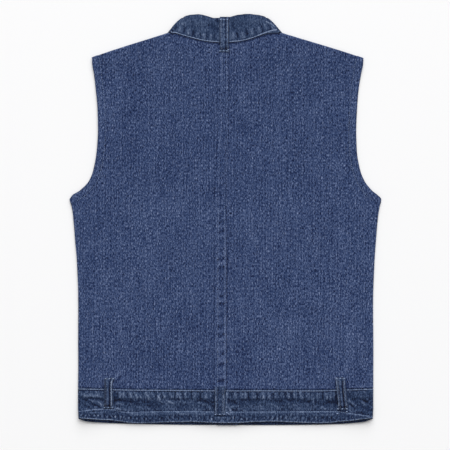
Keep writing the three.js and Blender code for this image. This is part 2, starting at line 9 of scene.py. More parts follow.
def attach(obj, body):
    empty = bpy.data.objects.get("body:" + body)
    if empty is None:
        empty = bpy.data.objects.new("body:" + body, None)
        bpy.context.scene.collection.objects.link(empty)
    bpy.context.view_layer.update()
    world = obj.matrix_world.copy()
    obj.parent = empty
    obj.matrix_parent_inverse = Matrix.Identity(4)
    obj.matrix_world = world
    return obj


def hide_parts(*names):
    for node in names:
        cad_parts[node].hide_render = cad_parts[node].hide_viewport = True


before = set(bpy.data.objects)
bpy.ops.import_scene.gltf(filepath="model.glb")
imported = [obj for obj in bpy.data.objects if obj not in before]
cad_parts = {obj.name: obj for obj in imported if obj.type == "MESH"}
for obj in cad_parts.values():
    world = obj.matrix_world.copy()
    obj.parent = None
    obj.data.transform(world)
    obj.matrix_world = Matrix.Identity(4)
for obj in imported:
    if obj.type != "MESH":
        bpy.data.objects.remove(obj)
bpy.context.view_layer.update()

# A sleeveless denim vest with a stand collar, laid flat and face down.
# Everything is worked out in millimetres, in the frame of the model, and is
# turned into metres when a mesh is made.
MM = 0.001
PX = 1.75                   # millimetres for one pixel of the picture


def px(x, y):
    """A place in the 450 x 450 picture, as a place on the vest."""
    return (np.asarray(x, float) - 225.4) * PX, (219.55 - np.asarray(y, float)) * PX


# ---------------------------------------------------------------- camera
CAM_HEIGHT = 3.0
camera = bpy.data.cameras.new("camera")
camera.sensor_width = 36.0
camera.lens = 36.0 * (CAM_HEIGHT - 0.005) / (450 * PX * MM)
camera.clip_end = 50.0
cam = bpy.data.objects.new("camera", camera)
bpy.context.scene.collection.objects.link(cam)
CAM_X, CAM_Y = px(225.0, 225.0)
cam.location = (float(CAM_X) * MM, float(CAM_Y) * MM, CAM_HEIGHT)
bpy.context.scene.camera = cam

# ---------------------------------------------------------------- sizes
CLOTH = 1.2
BAND = 2.0
GAP = 0.3
TURN = 8.0
ARMPIT_Y = 37.0
ARMPIT_DIP = 3.0
NECK_X = -1.0
NECK_HALF = 98.2
NECK_Y = 327.6
NECK_END = 96.0
SHOULDER_BOW = 0.9
COLLAR_H = 42.0
COLLAR_END = 1.5
SEAM_SLANT = 6.0
FRONT_LAP = 15.0
LAP_RAMP = 8.0
FRONT_Z = CLOTH / 2
BAND_FRONT_Z = BAND / 2
BACK_Z = 2.7
SIDE_LIFT = 1.3
LAP_LIFT = 1.1
FOLD_REACH = 25.0
LAP_REACH = 45.0
WAIST_REACH = 45.0
NECK_REACH = 85.0
SEAM_GAP = 0.45
FOLD_GAP = 2.1
ARM_SCOOP = 11.0
ARM_INSET = 3.5


def table(columns, *rows):
    """Rows of numbers as a dictionary of named columns."""
    return {name: np.array([r[i] for r in rows], float) for i, name in enumerate(columns.split())}


# outline at the sides, from the waist to the armpits
SIDE = table("y left right",
             (-302, -258.2, 259.0), (-245, -257.8, 259.1), (-140, -257.8, 258.9), (-77, -259.9, 261.0),
             (-35, -263.6, 264.0), (7, -267.1, 267.6), (23, -269.2, 270.1), (37, -272.4, 272.4))
# armhole edge of the back, from the armpits to the shoulder tips
ARMHOLE = table("y left right",
                (37, -271.0, 271.0), (42, -268.7, 267.6), (51, -254.9, 256.6), (68, -238.8, 243.5),
                (86, -231.6, 236.3), (121, -225.3, 230.2), (156, -223.2, 229.1), (191, -223.9, 230.5),
                (226, -226.9, 233.2), (261, -230.9, 238.6), (284, -233.9, 241.7))
TIP = {"left": (-233.5, 283.9), "right": (241.3, 282.7)}
NECK_SEAM = table("x y",
                  (-92, 326.6), (-64, 318.4), (-41, 312.5), (-20, 309.8), (-2, 309.2), (20, 310.4),
                  (40, 314.2), (62, 321.4), (89.2, 327.2))
COLLAR_TOP = table("x y",
                   (-76, 352.6), (-74.7, 353.4), (-72.5, 354.8), (-69, 356.3), (-62, 358.1), (-55, 358.7), (-48, 359.3),
                   (-41, 358.5), (-34, 356.7), (-27, 354.6), (-20, 352.7), (-13, 353.0), (-6, 353.8), (1, 354.6),
                   (8, 354.7), (15, 356.6), (22, 358.2), (29, 358.9), (36, 359.8), (43, 359.8), (50, 358.8),
                   (57, 358.2), (64, 356.6), (68, 355.4), (70.5, 354.2), (72.5, 353.0))
COLLAR_FOLD = table("h left right y out up",
                    (0, -95.5, 93.6, 326.9, 0.31, 0.95), (0.08, -94.2, 92.0, 329.6, 0.72, 0.69),
                    (0.27, -90.1, 87.7, 334.9, 0.75, 0.66), (0.45, -86.7, 83.9, 340.1, 0.77, 0.64),
                    (0.66, -82.0, 79.3, 345.4, 0.80, 0.50), (0.85, -77.7, 75.3, 349.4, 0.82, 0.22),
                    (1, -74.8, 72.2, 352.9, 0.80, -0.50))
BAND_EDGES = table("x seam back front",
                   (-258, -295.0, -346.8, -348.2), (-250, -295.3, -348.4, -352.0), (-232, -295.7, -349.6, -354.6),
                   (-205, -296.4, -351.2, -356.4), (-170, -297.2, -354.0, -357.9), (-120, -297.7, -355.2, -358.9),
                   (-45, -298.2, -355.8, -359.8), (60, -298.4, -356.0, -360.1), (130, -298.6, -356.0, -359.8),
                   (160, -298.6, -355.5, -359.4), (205, -297.2, -352.9, -357.8), (230, -296.4, -350.8, -355.6),
                   (245, -296.0, -349.0, -353.6), (259, -295.6, -347.4, -348.9))
CENTRE_LAP = table("y under over",
                   (-305, -17.0, 1.6), (35, -16.0, 1.9), (210, -9.3, 5.4), (330, -8.8, 5.6))
FRONT_NECK = table("s x y",
                   (0.00, 101.7, 0), (0.06, 99.0, -7.6), (0.20, 94.0, -27), (0.36, 83.0, -46),
                   (0.54, 63.5, -60), (0.76, 34.5, -67.5), (1.00, 0.0, -69.5))
# heights of the back's rows at its side or armhole edge, and at centre back
BACK_ROWS = table("edge centre",
                  (-289, -289), (-280, -280), (-268, -268), (-255, -255), (-236, -236), (-205, -205),
                  (-165, -165), (-122, -122), (-80, -80), (-46, -44), (-14, -9), (13, 21), (40, 48),
                  (44, 58), (51, 71), (67, 90), (88, 113), (119, 145), (154, 180), (190, 216),
                  (224, 250), (254, 282))


# ---------------------------------------------------------------- curves
def through(rows, key, value):
    """Smooth curve through a table's rows, without overshoot."""
    t, v = rows[key], rows[value]
    rise = np.diff(v) / np.diff(t)
    slope = np.empty_like(v)
    slope[0], slope[-1] = rise[0], rise[-1]
    a, b = rise[:-1], rise[1:]
    both = a * b > 0
    slope[1:-1] = np.where(both, 2 * a * b / np.where(both, a + b, 1), 0)

    def at(x):
        c = np.clip(np.asarray(x, float), t[0], t[-1])
        i = np.clip(np.searchsorted(t, c, side="right") - 1, 0, len(t) - 2)
        w = t[i + 1] - t[i]
        s = (c - t[i]) / w
        s2, s3 = s * s, s * s * s
        return (v[i] * (2 * s3 - 3 * s2 + 1) + slope[i] * w * (s3 - 2 * s2 + s)
                + v[i + 1] * (3 * s2 - 2 * s3) + slope[i + 1] * w * (s3 - s2))
    return at


def smooth(s):
    c = np.clip(s, 0, 1)
    return c * c * (3 - 2 * c)


def mix(a, b, s):
    return a + (b - a) * s


def bell(s):
    return np.exp(-np.square(s))


def between(v, low, high, soft):
    """1 from low to high, falling to 0 over soft outside them."""
    return smooth((v - low) / soft + 1) * smooth((high - v) / soft + 1)


def fine(knots, step):
    """The knots, with evenly spaced values added so that none is further apart than step."""
    out = [float(knots[0])]
    for a, b in zip(knots[:-1], knots[1:]):
        n = max(1, int(math.ceil(abs(b - a) / step)))
        out += [mix(a, b, (i + 1) / n) for i in range(n)]
    return np.array(out)


outline = {s: through(SIDE, "y", s) for s in ("left", "right")}
armhole = {s: through(ARMHOLE, "y", s) for s in ("left", "right")}
neck_seam = through(NECK_SEAM, "x", "y")
collar_top = through(COLLAR_TOP, "x", "y")
band_seam = through(BAND_EDGES, "x", "seam")
HEM_WANDER = table("x dy",
                   (-259, 0), (-236, 0), (-219, -0.6), (-201, -0.1), (-184, -1.1), (-166, -2.4), (-149, -2.2),
                   (-131, -1.6), (-114, -0.7), (-96, 0.2), (-79, 0.5), (-61, 1.3), (-44, 0.9), (-26, 0.0),
                   (-9, -0.5), (9, -0.6), (26, -0.2), (44, 1.0), (61, 1.5), (79, 1.9), (96, 1.6), (114, 0.7),
                   (131, 0.0), (149, -0.8), (166, -1.6), (184, -1.9), (201, -0.9), (219, -0.8), (236, 0), (259, 0))
hem_line_back = through(BAND_EDGES, "x", "back")
hem_wander = through(HEM_WANDER, "x", "dy")


def back_hem(x):
    return hem_line_back(x) + hem_wander(x)


front_hem = through(BAND_EDGES, "x", "front")
lap_under = through(CENTRE_LAP, "y", "under")
lap_over = through(CENTRE_LAP, "y", "over")
fold_at = {s: through(COLLAR_FOLD, "h", s) for s in ("left", "right")}
fold_y = through(COLLAR_FOLD, "h", "y")
fold_out = through(COLLAR_FOLD, "h", "out")
fold_up = through(COLLAR_FOLD, "h", "up")
front_neck_x = through(FRONT_NECK, "s", "x")
front_neck_y = through(FRONT_NECK, "s", "y")
SIGN = {"left": -1.0, "right": 1.0}


def make_shoulder(side):
    """Neck end of a shoulder, the unit vector along it and the one out across it."""
    neck = np.array([NECK_X + SIGN[side] * NECK_HALF, NECK_Y])
    d = np.array(TIP[side]) - neck
    along = d / np.hypot(*d)
    return {"neck": neck, "along": along, "out": np.array([-SIGN[side] * along[1], SIGN[side] * along[0]])}


SHOULDER = {s: make_shoulder(s) for s in SIGN}


# ---------------------------------------------------------------- heights
def band_z(x):
    return (mix(3.7, 5.2, bell((257 - np.minimum(257, np.abs(x))) / 32))
            + (5.9 - 3.7) * bell(np.maximum(0, np.abs(x) - 18) / 38))


def collar_z(x):
    return mix(4.7, 5.4, smooth(np.abs(x - NECK_X) / 70))


def back_z(x, y):
    x, y = np.broadcast_arrays(np.asarray(x, float), np.asarray(y, float))
    left = x < 0
    edge = np.where(left, np.abs(outline["left"](y)), outline["right"](y))
    to_side = np.maximum(0, edge - 2.3 - np.abs(x))
    to_shoulder = np.zeros_like(x)
    for side, pick in (("left", left), ("right", ~left)):
        s = SHOULDER[side]
        d = -((x - s["neck"][0]) * s["out"][0] + (y - s["neck"][1]) * s["out"][1]) - 2.3
        to_shoulder = np.where(pick, np.maximum(0, d), to_shoulder)
    below = smooth((ARMPIT_Y + 40 - y) / 60)
    rise = np.maximum(below * bell(to_side / FOLD_REACH), bell(to_shoulder / FOLD_REACH))
    z = BACK_Z + SIDE_LIFT * rise + LAP_LIFT * bell(np.maximum(0, np.abs(x) - 12) / LAP_REACH)
    z = mix(z, band_z(x) - 0.3, smooth(1 - (y - band_seam(x)) / WAIST_REACH))
    off = np.maximum(0, np.abs(x - NECK_X) - NECK_HALF)
    to_neck = np.hypot(off, np.maximum(0, neck_seam(x) - y))
    return mix(z, collar_z(x) - 0.2, smooth(1 - to_neck / NECK_REACH))


def lap_step(x, y):
    return (CLOTH + GAP) * smooth((x - lap_under(y) + LAP_RAMP) / LAP_RAMP)


def front_step(x, lift):
    return lift * smooth((FRONT_LAP + 2 + LAP_RAMP - x) / LAP_RAMP)


# ---------------------------------------------------------------- soft detail
def waves(x, y, rows):
    """Sum of long soft waves; columns: size of a wave in mm, its direction in degrees, phase, height."""
    h = 0.0
    for size, turn, phase, height in rows:
        a = math.radians(turn)
        h = h + height * np.sin(2 * math.pi * (x * math.cos(a) + y * math.sin(a)) / size + phase)
    return h


class Noise:
    """Smooth seeded noise along one line, from -1 to 1."""

    def __init__(self, seed, n=4096):
        self.v = np.random.default_rng(seed).uniform(-1, 1, n)

    def __call__(self, t):
        t = np.asarray(t, float)
        i = np.floor(t).astype(int)
        f = t - i
        f = f * f * (3 - 2 * f)
        n = len(self.v)
        return mix(self.v[i % n], self.v[(i + 1) % n], f)


def strokes(x, y, rows):
    """Soft ridges and troughs. Columns of a row: both ends, in picture pixels,
    half width in mm, height in mm, and how pale (or, below 0, how dark) it is. The dark marks in troughs and beside
    raised parts are painted shade."""
    h = np.zeros_like(x)
    w = np.zeros_like(x)
    for x0, y0, x1, y1, wide, high, pale in rows:
        ax, ay = px(x0, y0)
        bx, by = px(x1, y1)
        dx, dy = bx - ax, by - ay
        length = max(1e-6, math.hypot(dx, dy))
        dx, dy = dx / length, dy / length
        along = (x - ax) * dx + (y - ay) * dy
        across = (y - ay) * dx - (x - ax) * dy
        past = np.maximum(0, np.abs(along - length / 2) - length / 2 + 0.6 * wide)
        e = bell(past / (0.9 * wide)) * bell(across / wide)
        h += high * e
        w += pale * e
    return h, w


# ---------------------------------------------------------------- sheets
class Sheet:
    """A net of points joined by four-sided cells, made into a wall of cloth with rounded edges.
    Each point has a place, its place on the flat cloth, a thickness, and how much paler or darker its face is, from
    wear and from painted shade and highlights."""

    def __init__(self):
        self.p, self.c, self.t, self.w, self.quads = [], [], [], [], []
        self.n = 0

    def add(self, x, y, z, cx=None, cy=None, t=CLOTH, w=0.0):
        x, y, z = np.broadcast_arrays(x, y, z)
        cx = x if cx is None else cx
        cy = y if cy is None else cy
        shape = x.shape
        for store, values in ((self.p, (x, y, z)), (self.c, (cx, cy)), (self.t, (t,)), (self.w, (w,))):
            store.append(np.stack([np.broadcast_to(v, shape).ravel().astype(float) for v in values], 1))
        ids = np.arange(self.n, self.n + x.size).reshape(shape)
        self.n += x.size
        return ids

    def net(self, ids):
        a, b, c, d = ids[:-1, :-1], ids[:-1, 1:], ids[1:, 1:], ids[1:, :-1]
        self.quads.append(np.stack([a.ravel(), b.ravel(), c.ravel(), d.ravel()], 1))

    def wall(self, flip=False, inset=True, rings=4, reverse=1.0):
        P = np.concatenate(self.p)
        C = np.concatenate(self.c)
        T = np.concatenate(self.t)[:, 0]
        W = np.concatenate(self.w)[:, 0]
        Q = np.concatenate(self.quads)
        if flip:
            Q = Q[:, ::-1]
        n = len(P)

        def normals(P):
            face = np.cross(P[Q[:, 2]] - P[Q[:, 0]], P[Q[:, 3]] - P[Q[:, 1]])
            N = np.zeros_like(P)
            for k in range(4):
                np.add.at(N, Q[:, k], face)
            return N / np.maximum(1e-12, np.linalg.norm(N, axis=1))[:, None]

        N = normals(P)
        edges = np.concatenate([np.stack([Q[:, k], Q[:, (k + 1) % 4]], 1) for k in range(4)])
        key = edges[:, 0] * n + edges[:, 1]
        back = edges[:, 1] * n + edges[:, 0]
        free = edges[~np.isin(key, back)]
        rim = np.unique(free)
        O = np.zeros_like(P)
        d = P[free[:, 1]] - P[free[:, 0]]
        d /= np.maximum(1e-12, np.linalg.norm(d, axis=1))[:, None]
        for k in (0, 1):
            np.add.at(O, free[:, k], np.cross(d, N[free[:, k]]))
        size = np.linalg.norm(O, axis=1)
        O /= np.maximum(1e-9, size)[:, None]
        corner = np.clip(2.0 / np.maximum(1e-9, size), 1.0, 1.35)
        if inset:
            P[rim] -= O[rim] * (T[rim] * corner[rim])[:, None] / 2
        outer = P + N * T[:, None] / 2
        inner = P - N * T[:, None] / 2
        verts = [outer, inner]
        cloth = [C, C]
        wear_and_painted_shading = [W, np.zeros(n)]
        under = [np.zeros(n), np.full(n, reverse)]
        where = np.full(n, -1)
        where[rim] = np.arange(len(rim))
        ring_ids = [rim]
        for k in range(1, rings):
            a = math.pi * k / rings
            verts.append(P[rim] + (N[rim] * math.cos(a) + O[rim] * math.sin(a) * corner[rim][:, None])
                         * T[rim][:, None] / 2)
            cloth.append(C[rim])
            wear_and_painted_shading.append(W[rim] * (1 - k / rings))
            under.append(np.zeros(len(rim)))
            ring_ids.append(2 * n + (k - 1) * len(rim) + np.arange(len(rim)))
        ring_ids.append(rim + n)
        quads = [Q, Q[:, ::-1] + n]
        u, v = where[free[:, 0]], where[free[:, 1]]
        for a, b in zip(ring_ids[:-1], ring_ids[1:]):
            quads.append(np.stack([a[v], a[u], b[u], b[v]], 1))
        V = np.concatenate(verts)
        V[:, 2] = np.maximum(V[:, 2], 0.0)
        return V, np.concatenate(quads), np.concatenate(cloth), np.concatenate(wear_and_painted_shading), np.concatenate(under)


# how strong the flecks are on the pieces where washing has evened them out
FLECK = {"vest_collar": 0.66, "vest_waistband_back": 0.82, "vest_belt_loop_left": 0.6, "vest_belt_loop_centre": 0.75,
         "vest_belt_loop_right": 0.6, "vest_collar_loop": 0.75}


def make_object(name, V, Q, cloth, wear_and_painted_shading, under, slot, material):
    mesh = bpy.data.meshes.new(name)
    mesh.from_pydata((V * MM).tolist(), [], Q.tolist())
    mesh.polygons.foreach_set("use_smooth", np.ones(len(mesh.polygons), bool))
    a = mesh.attributes.new("cloth", "FLOAT_VECTOR", "POINT")
    a.data.foreach_set("vector", np.column_stack([cloth, np.zeros(len(cloth))]).astype(np.float32).ravel())
    a = mesh.attributes.new("wear_and_painted_shading", "FLOAT", "POINT")
    a.data.foreach_set("value", wear_and_painted_shading.astype(np.float32))
    a = mesh.attributes.new("under", "FLOAT", "POINT")
    a.data.foreach_set("value", under.astype(np.float32))
    a = mesh.attributes.new("fleck", "FLOAT", "POINT")
    a.data.foreach_set("value", np.full(len(cloth), FLECK.get(name, 1.0), np.float32))
    mesh.validate()
    mesh.materials.append(material)
    obj = bpy.data.objects.new(name, mesh)
    bpy.context.scene.collection.objects.link(obj)
    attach(obj, "root")
    return obj


def wrap(sheet, x, y, z, ex, ey, bx, by, z_low, steps, arc_dir, t, w=0.0, cx=None, cy=None):
    """Rows of points round a half-round fold, from the upper layer (x, y, z) to the lower one.
    ex, ey: where the fold ends; bx, by: how far it bulges; arc_dir: which way the cloth runs."""
    out = []
    for k in range(1, steps + 1):
        a = math.pi * k / steps
        across = (1 - math.cos(a)) / 2
        radius = np.abs(z - z_low) / 2
        run = radius * a
        out.append(sheet.add(mix(x, ex, across) + bx * math.sin(a), mix(y, ey, across) + by * math.sin(a),
                             mix(z, z_low, across), (x if cx is None else cx) + arc_dir[0] * run,
                             (y if cy is None else cy) + arc_dir[1] * run, t, w * max(0.0, math.cos(a))))
    return out


# ---------------------------------------------------------------- colours
BODY = (45, 62, 100)        # sRGB, body cloth
TRIM = (43, 60, 91)         # sRGB, waistband, collar and loops
THREAD = (134, 152, 186)    # sRGB, stitching


def linear(c):
    c = np.clip(np.asarray(c, float) / 255.0, 0, 1)
    return np.where(c <= 0.04045, c / 12.92, ((c + 0.055) / 1.055) ** 2.4)


def rgba(c):
    return (*[float(v) for v in linear(c)], 1.0)


class Nodes:
    """Short calls for building a node tree."""

    def __init__(self, name):
        self.material = bpy.data.materials.new(name)
        self.material.use_nodes = True
        self.tree = self.material.node_tree
        self.tree.nodes.clear()

    def node(self, kind, **settings):
        n = self.tree.nodes.new(kind)
        for k, v in settings.items():
            setattr(n, k, v)
        return n

    def put(self, value, socket):
        if isinstance(value, bpy.types.NodeSocket):
            self.tree.links.new(value, socket)
        else:
            socket.default_value = value

    def math(self, op, a, b=0.0, c=None):
        n = self.node("ShaderNodeMath", operation=op)
        self.put(a, n.inputs[0])
        self.put(b, n.inputs[1])
        if c is not None:
            self.put(c, n.inputs[2])
        return n.outputs[0]

    def attribute(self, name, output="Fac"):
        return self.node("ShaderNodeAttribute", attribute_name=name).outputs[output]

    def noise(self, vector, scale=1.0, detail=0.0, rough=0.5, dims="3D"):
        n = self.node("ShaderNodeTexNoise", noise_dimensions=dims)
        self.put(vector, n.inputs["Vector"])
        n.inputs["Scale"].default_value = scale
        n.inputs["Detail"].default_value = detail
        n.inputs["Roughness"].default_value = rough
        return n.outputs["Fac"]

    def place(self, vector, scale, shear=0.0, offset=(0.0, 0.0, 0.0)):
        """The cloth's own coordinates, leaned and scaled, for one texture."""
        parts = self.node("ShaderNodeSeparateXYZ")
        self.put(vector, parts.inputs[0])
        x = self.math("MULTIPLY_ADD", parts.outputs[1], shear, parts.outputs[0])
        join = self.node("ShaderNodeCombineXYZ")
        self.put(self.math("MULTIPLY_ADD", x, 1.0 / scale[0], offset[0]), join.inputs[0])
        self.put(self.math("MULTIPLY_ADD", parts.outputs[1], 1.0 / scale[1], offset[1]), join.inputs[1])
        join.inputs[2].default_value = offset[2]
        return join.outputs[0]


def denim(name, base, mottle=1.0):
    """Washed denim. Shades are steps up or down from the base colour, in sRGB,
    because that is how the yarns and the wear differ from each other; the painted shade and highlights that come with
    the wear are added as steps too."""
    n = Nodes(name)
    cloth = n.attribute("cloth", "Vector")
    wear_and_painted_shading = n.attribute("wear_and_painted_shading")
    under = n.attribute("under")

    def part(value, amount):
        return n.math("MULTIPLY", n.math("SUBTRACT", value, 0.5), amount)

    # uneven warp yarns: short flecks, slanted flecks, longer slubs and faint bands
    fleck = n.noise(n.place(cloth, (0.86, 4.4)), 1.0)
    fine_fleck = n.noise(n.place(cloth, (0.86, 2.9), 0.42, (7.3, 1.7, 3.1)), 1.0)
    slub = n.noise(n.place(cloth, (1.3, 40.0), 0.0, (3.1, 9.2, 8.8)), 1.0)
    cloud = n.noise(n.place(cloth, (26.0, 46.0), 0.0, (1.1, 4.2, 5.5)), 1.0, 2.0)
    drift = n.noise(n.place(cloth, (8.0, 60.0), 0.0, (4.7, 2.2, 1.5)), 1.0)
    # twill: fine slanted ribs, broken up by the yarns
    parts = n.node("ShaderNodeSeparateXYZ")
    n.put(cloth, parts.inputs[0])
    slant = n.math("MULTIPLY_ADD", parts.outputs[1], 0.55, parts.outputs[0])
    wobble = n.math("MULTIPLY", fine_fleck, 2.2)
    rib = n.math("SINE", n.math("MULTIPLY_ADD", slant, 2 * math.pi / 1.25, wobble))
    yarn = n.math("SINE", n.math("MULTIPLY", parts.outputs[0], 2 * math.pi / 0.82))

    bands = n.math("SINE", n.math("ADD", n.math("MULTIPLY", parts.outputs[0], 2 * math.pi / 7.2),
                                  n.math("MULTIPLY", drift, 9.0)))
    shift = n.noise(n.place(cloth, (4.3, 6.5), 0.0, (2.9, 6.1, 7.7)), 1.0)
    warp = n.math("SINE", n.math("ADD", n.math("MULTIPLY", parts.outputs[0], 2 * math.pi / 4.9),
                                 n.math("MULTIPLY", shift, 8.0)))
    streak = n.noise(n.place(cloth, (1.0, 10.0), 0.0, (6.2, 3.3, 0.9)), 1.0)
    k = part(fleck, 140.0)
    k = n.math("ADD", k, part(fine_fleck, 142.0))
    k = n.math("ADD", k, part(streak, 25.0))
    k = n.math("ADD", k, part(slub, 40.0))
    k = n.math("MULTIPLY_ADD", bands, 4.0, k)
    k = n.math("MULTIPLY_ADD", warp, 10.5, k)
    k = n.math("MULTIPLY", k, n.attribute("fleck"))
    k = n.math("ADD", k, part(cloud, 26.0 * mottle))
    k = n.math("MULTIPLY_ADD", rib, 6.0, k)
    k = n.math("MULTIPLY_ADD", yarn, 3.0, k)
    # wear, painted shade and painted highlights, as steps of the colour
    k = n.math("MULTIPLY_ADD", wear_and_painted_shading, 46.0, k)
    k = n.math("MULTIPLY_ADD", under, 34.0, k)
    ramp = n.node("ShaderNodeValToRGB")
    ramp.color_ramp.interpolation = "LINEAR"
    n.put(n.math("MULTIPLY_ADD", k, 1 / 180.0, 0.5), ramp.inputs[0])
    stops = [-90, -55, -36, -20, -8, 4, 18, 34, 54, 90]
    points = ramp.color_ramp.elements
    while len(points) < len(stops):
        points.new(0.5)
    for e, s in zip(points, stops):
        e.position = 0.5 + s / 180.0
        tint = 1.0 if s < 0 else 0.94
        e.color = rgba((max(base[0] + 1.05 * s, 8), max(base[1] + s, 13), max(base[2] + s * tint, 26)))

    height = n.math("MULTIPLY_ADD", rib, 0.05, n.math("MULTIPLY", fleck, 0.35))
    height = n.math("MULTIPLY_ADD", yarn, 0.025, height)
    height = n.math("MULTIPLY_ADD", fine_fleck, 0.14, height)
    bump = n.node("ShaderNodeBump")
    bump.inputs["Strength"].default_value = 0.5
    bump.inputs["Distance"].default_value = 0.0006
    n.put(height, bump.inputs["Height"])

    shader = n.node("ShaderNodeBsdfPrincipled")
    n.put(ramp.outputs[0], shader.inputs["Base Color"])
    n.put(n.math("MULTIPLY_ADD", fleck, -0.12, 0.98), shader.inputs["Roughness"])
    shader.inputs["Specular IOR Level"].default_value = 0.18
    shader.inputs["Sheen Weight"].default_value = 0.10
    shader.inputs["Sheen Roughness"].default_value = 0.5
    n.put(bump.outputs[0], shader.inputs["Normal"])
    out = n.node("ShaderNodeOutputMaterial")
    n.put(shader.outputs[0], out.inputs[0])
    return n.material


def thread_material(name, base):
    """Twisted cotton thread, uneven in colour along its length."""
    n = Nodes(name)
    where = n.node("ShaderNodeTexCoord").outputs["Object"]
    patch = n.noise(where, 420.0, 2.0)
    long_patch = n.noise(where, 60.0, 1.0)
    both = n.math("ADD", n.math("MULTIPLY", patch, 0.55), n.math("MULTIPLY", long_patch, 0.45))
    ramp = n.node("ShaderNodeValToRGB")
    n.put(both, ramp.inputs[0])
    ramp.color_ramp.elements[0].position = 0.3
    ramp.color_ramp.elements[0].color = rgba([c - 26 for c in base])
    ramp.color_ramp.elements[1].position = 0.72
    ramp.color_ramp.elements[1].color = rgba([c + 24 for c in base])
    bump = n.node("ShaderNodeBump")
    bump.inputs["Strength"].default_value = 0.4
    bump.inputs["Distance"].default_value = 0.0002
    n.put(n.noise(where, 1800.0, 1.0), bump.inputs["Height"])
    shader = n.node("ShaderNodeBsdfPrincipled")
    n.put(ramp.outputs[0], shader.inputs["Base Color"])
    n.put(n.math("MULTIPLY_ADD", patch, 0.2, 0.62), shader.inputs["Roughness"])
    shader.inputs["Specular IOR Level"].default_value = 0.3
    n.put(bump.outputs[0], shader.inputs["Normal"])
    out = n.node("ShaderNodeOutputMaterial")
    n.put(shader.outputs[0], out.inputs[0])
    return n.material


BODY_DENIM = denim("body_denim", BODY)
BAND_DENIM = denim("band_denim", TRIM, 1.5)
THREAD_COTTON = thread_material("topstitch", THREAD)


# ---------------------------------------------------------------- backs
def fold_centre(side, y):
    rough = outline[side](y)
    z = back_z(rough - SIGN[side] * 2.3, y)
    return rough - SIGN[side] * ((z - FRONT_Z) / 2 + CLOTH / 2)


def shoulder_y(side, x):
    s = SHOULDER[side]
    share = np.clip((x - s["neck"][0]) / (TIP[side][0] - s["neck"][0]), 0, 1)
    on_line = (s["neck"][1] + (x - s["neck"][0]) * s["along"][1] / s["along"][0]
               + 6.75 * SHOULDER_BOW * share * share * (1 - share))
    z = back_z(x, on_line - 2.6)
    return on_line - ((z - FRONT_Z) / 2 + CLOTH / 2) / abs(s["out"][1])


def neck_end_x(side):
    return NECK_X + SIGN[side] * NECK_END


def back_top(side, x):
    end = shoulder_y(side, neck_end_x(side))
    return np.where(np.abs(x - NECK_X) < NECK_END - 0.1,
                    mix(neck_seam(x), end, smooth((np.abs(x - NECK_X) - NECK_END + 18) / 18)), shoulder_y(side, x))


def line_climb(x):
    """How far the collar's stitched line climbs above its lower edge towards the right end."""
    return 4.0 * smooth((x - 48) / 40)


# main creases of the back, and shade beside the loops; columns as strokes() takes them. The troughs, and the strokes
# beside the loops, are painted darker as shade.
BODY_CREASES_AND_SHADE = [
    (348.5, 326, 347.0, 371, 6.5, 0.55, 0.30),
    (357.0, 338, 355.5, 366, 4.0, -0.25, -0.12),
    (114.6, 378.6, 119.6, 372.6, 1.2, 0.25, 0.95), (119.6, 372.6, 124.5, 368.0, 1.8, 0.28, 0.35),
    (116.6, 380.6, 121.4, 375.4, 1.5, -0.25, -0.75), (121.4, 375.4, 127.0, 371.5, 2.0, -0.20, -0.22),
    (103.0, 379.0, 103.0, 388.0, 1.4, -0.10, -0.40), (115.0, 381.0, 114.6, 388.0, 1.5, -0.15, -0.65),
    (334.2, 380.0, 335.4, 388.0, 1.5, -0.12, -0.55), (347.4, 380.0, 347.0, 388.0, 1.4, -0.10, -0.35),
    (85.0, 386.6, 96.0, 385.6, 1.3, 0.18, 0.45), (350.0, 387.0, 372.0, 386.4, 1.1, 0.16, 0.45),
    (215.4, 46.6, 218.4, 50.6, 1.0, 0.30, 0.45),
    (216.6, 46.0, 219.6, 49.6, 1.0, -0.18, -0.35),
    (97.0, 300, 95.5, 352, 9.0, 0.35, 0.04),
    (218.0, 379.6, 224.4, 379.4, 3.4, -0.30, -0.42), (218.0, 373.2, 224.4, 373.2, 2.6, 0.28, 0.28),
    (228.0, 336.0, 232.0, 352.0, 1.2, 0.15, 0.25), (230.0, 346.0, 236.0, 362.0, 1.3, 0.15, 0.22),
    (228.0, 354.0, 231.4, 366.0, 1.1, 0.15, 0.28), (231.0, 364.0, 239.0, 381.0, 5.0, -0.15, -0.16),
    (204.0, 366.0, 213.0, 384.0, 6.0, -0.15, -0.14), (229.4, 322.0, 229.8, 334.0, 1.1, 0.10, 0.22),
    (150.0, 210, 147.0, 300, 13.0, 0.35, 0.03),
    (290.0, 120, 296.0, 205, 14.0, -0.30, -0.03),
    (262.0, 250, 259.0, 330, 12.0, 0.30, 0.03),
    (180.0, 95, 172.0, 150, 12.0, 0.28, 0.03),
    (330.0, 222, 338.0, 268, 10.0, -0.25, -0.03),
    (106.0, 210, 112.0, 262, 9.0, -0.25, -0.03),
    (372.0, 236, 368.5, 300, 5.0, 0.30, 0.05),
    (77.5, 236, 79.5, 300, 5.0, 0.28, 0.05),
    (228.0, 404.0, 231.0, 384.0, 2.0, 0.15, 0.05),
    # broad darker and paler places in the colour, with no change of height
    (148.0, 370.0, 212.0, 368.0, 30.0, 0.0, -0.11), (236.0, 342.0, 246.0, 376.0, 24.0, 0.0, -0.15),
    (111.0, 158.0, 114.0, 176.0, 24.0, 0.0, -0.08), (113.0, 276.0, 128.0, 312.0, 26.0, 0.0, 0.07),
    (276.0, 318.0, 294.0, 332.0, 24.0, 0.0, 0.06), (318.0, 284.0, 330.0, 316.0, 24.0, 0.0, 0.08),
    (198.0, 312.0, 206.0, 340.0, 20.0, 0.0, -0.05), (186.0, 170.0, 196.0, 245.0, 24.0, 0.0, 0.03),
]
BODY_WAVES = [(310, 78, 0.4, 0.22), (190, 12, 1.9, 0.16), (128, 102, 2.6, 0.12), (86, 48, 0.9, 0.07),
              (64, 171, 4.0, 0.05)]
seam_noise = Noise(11)
edge_noise = Noise(12)
rope_noise = Noise(13)
# noise that varies the wear, and the painted shade and highlights
wear_and_shade_noise = Noise(14)


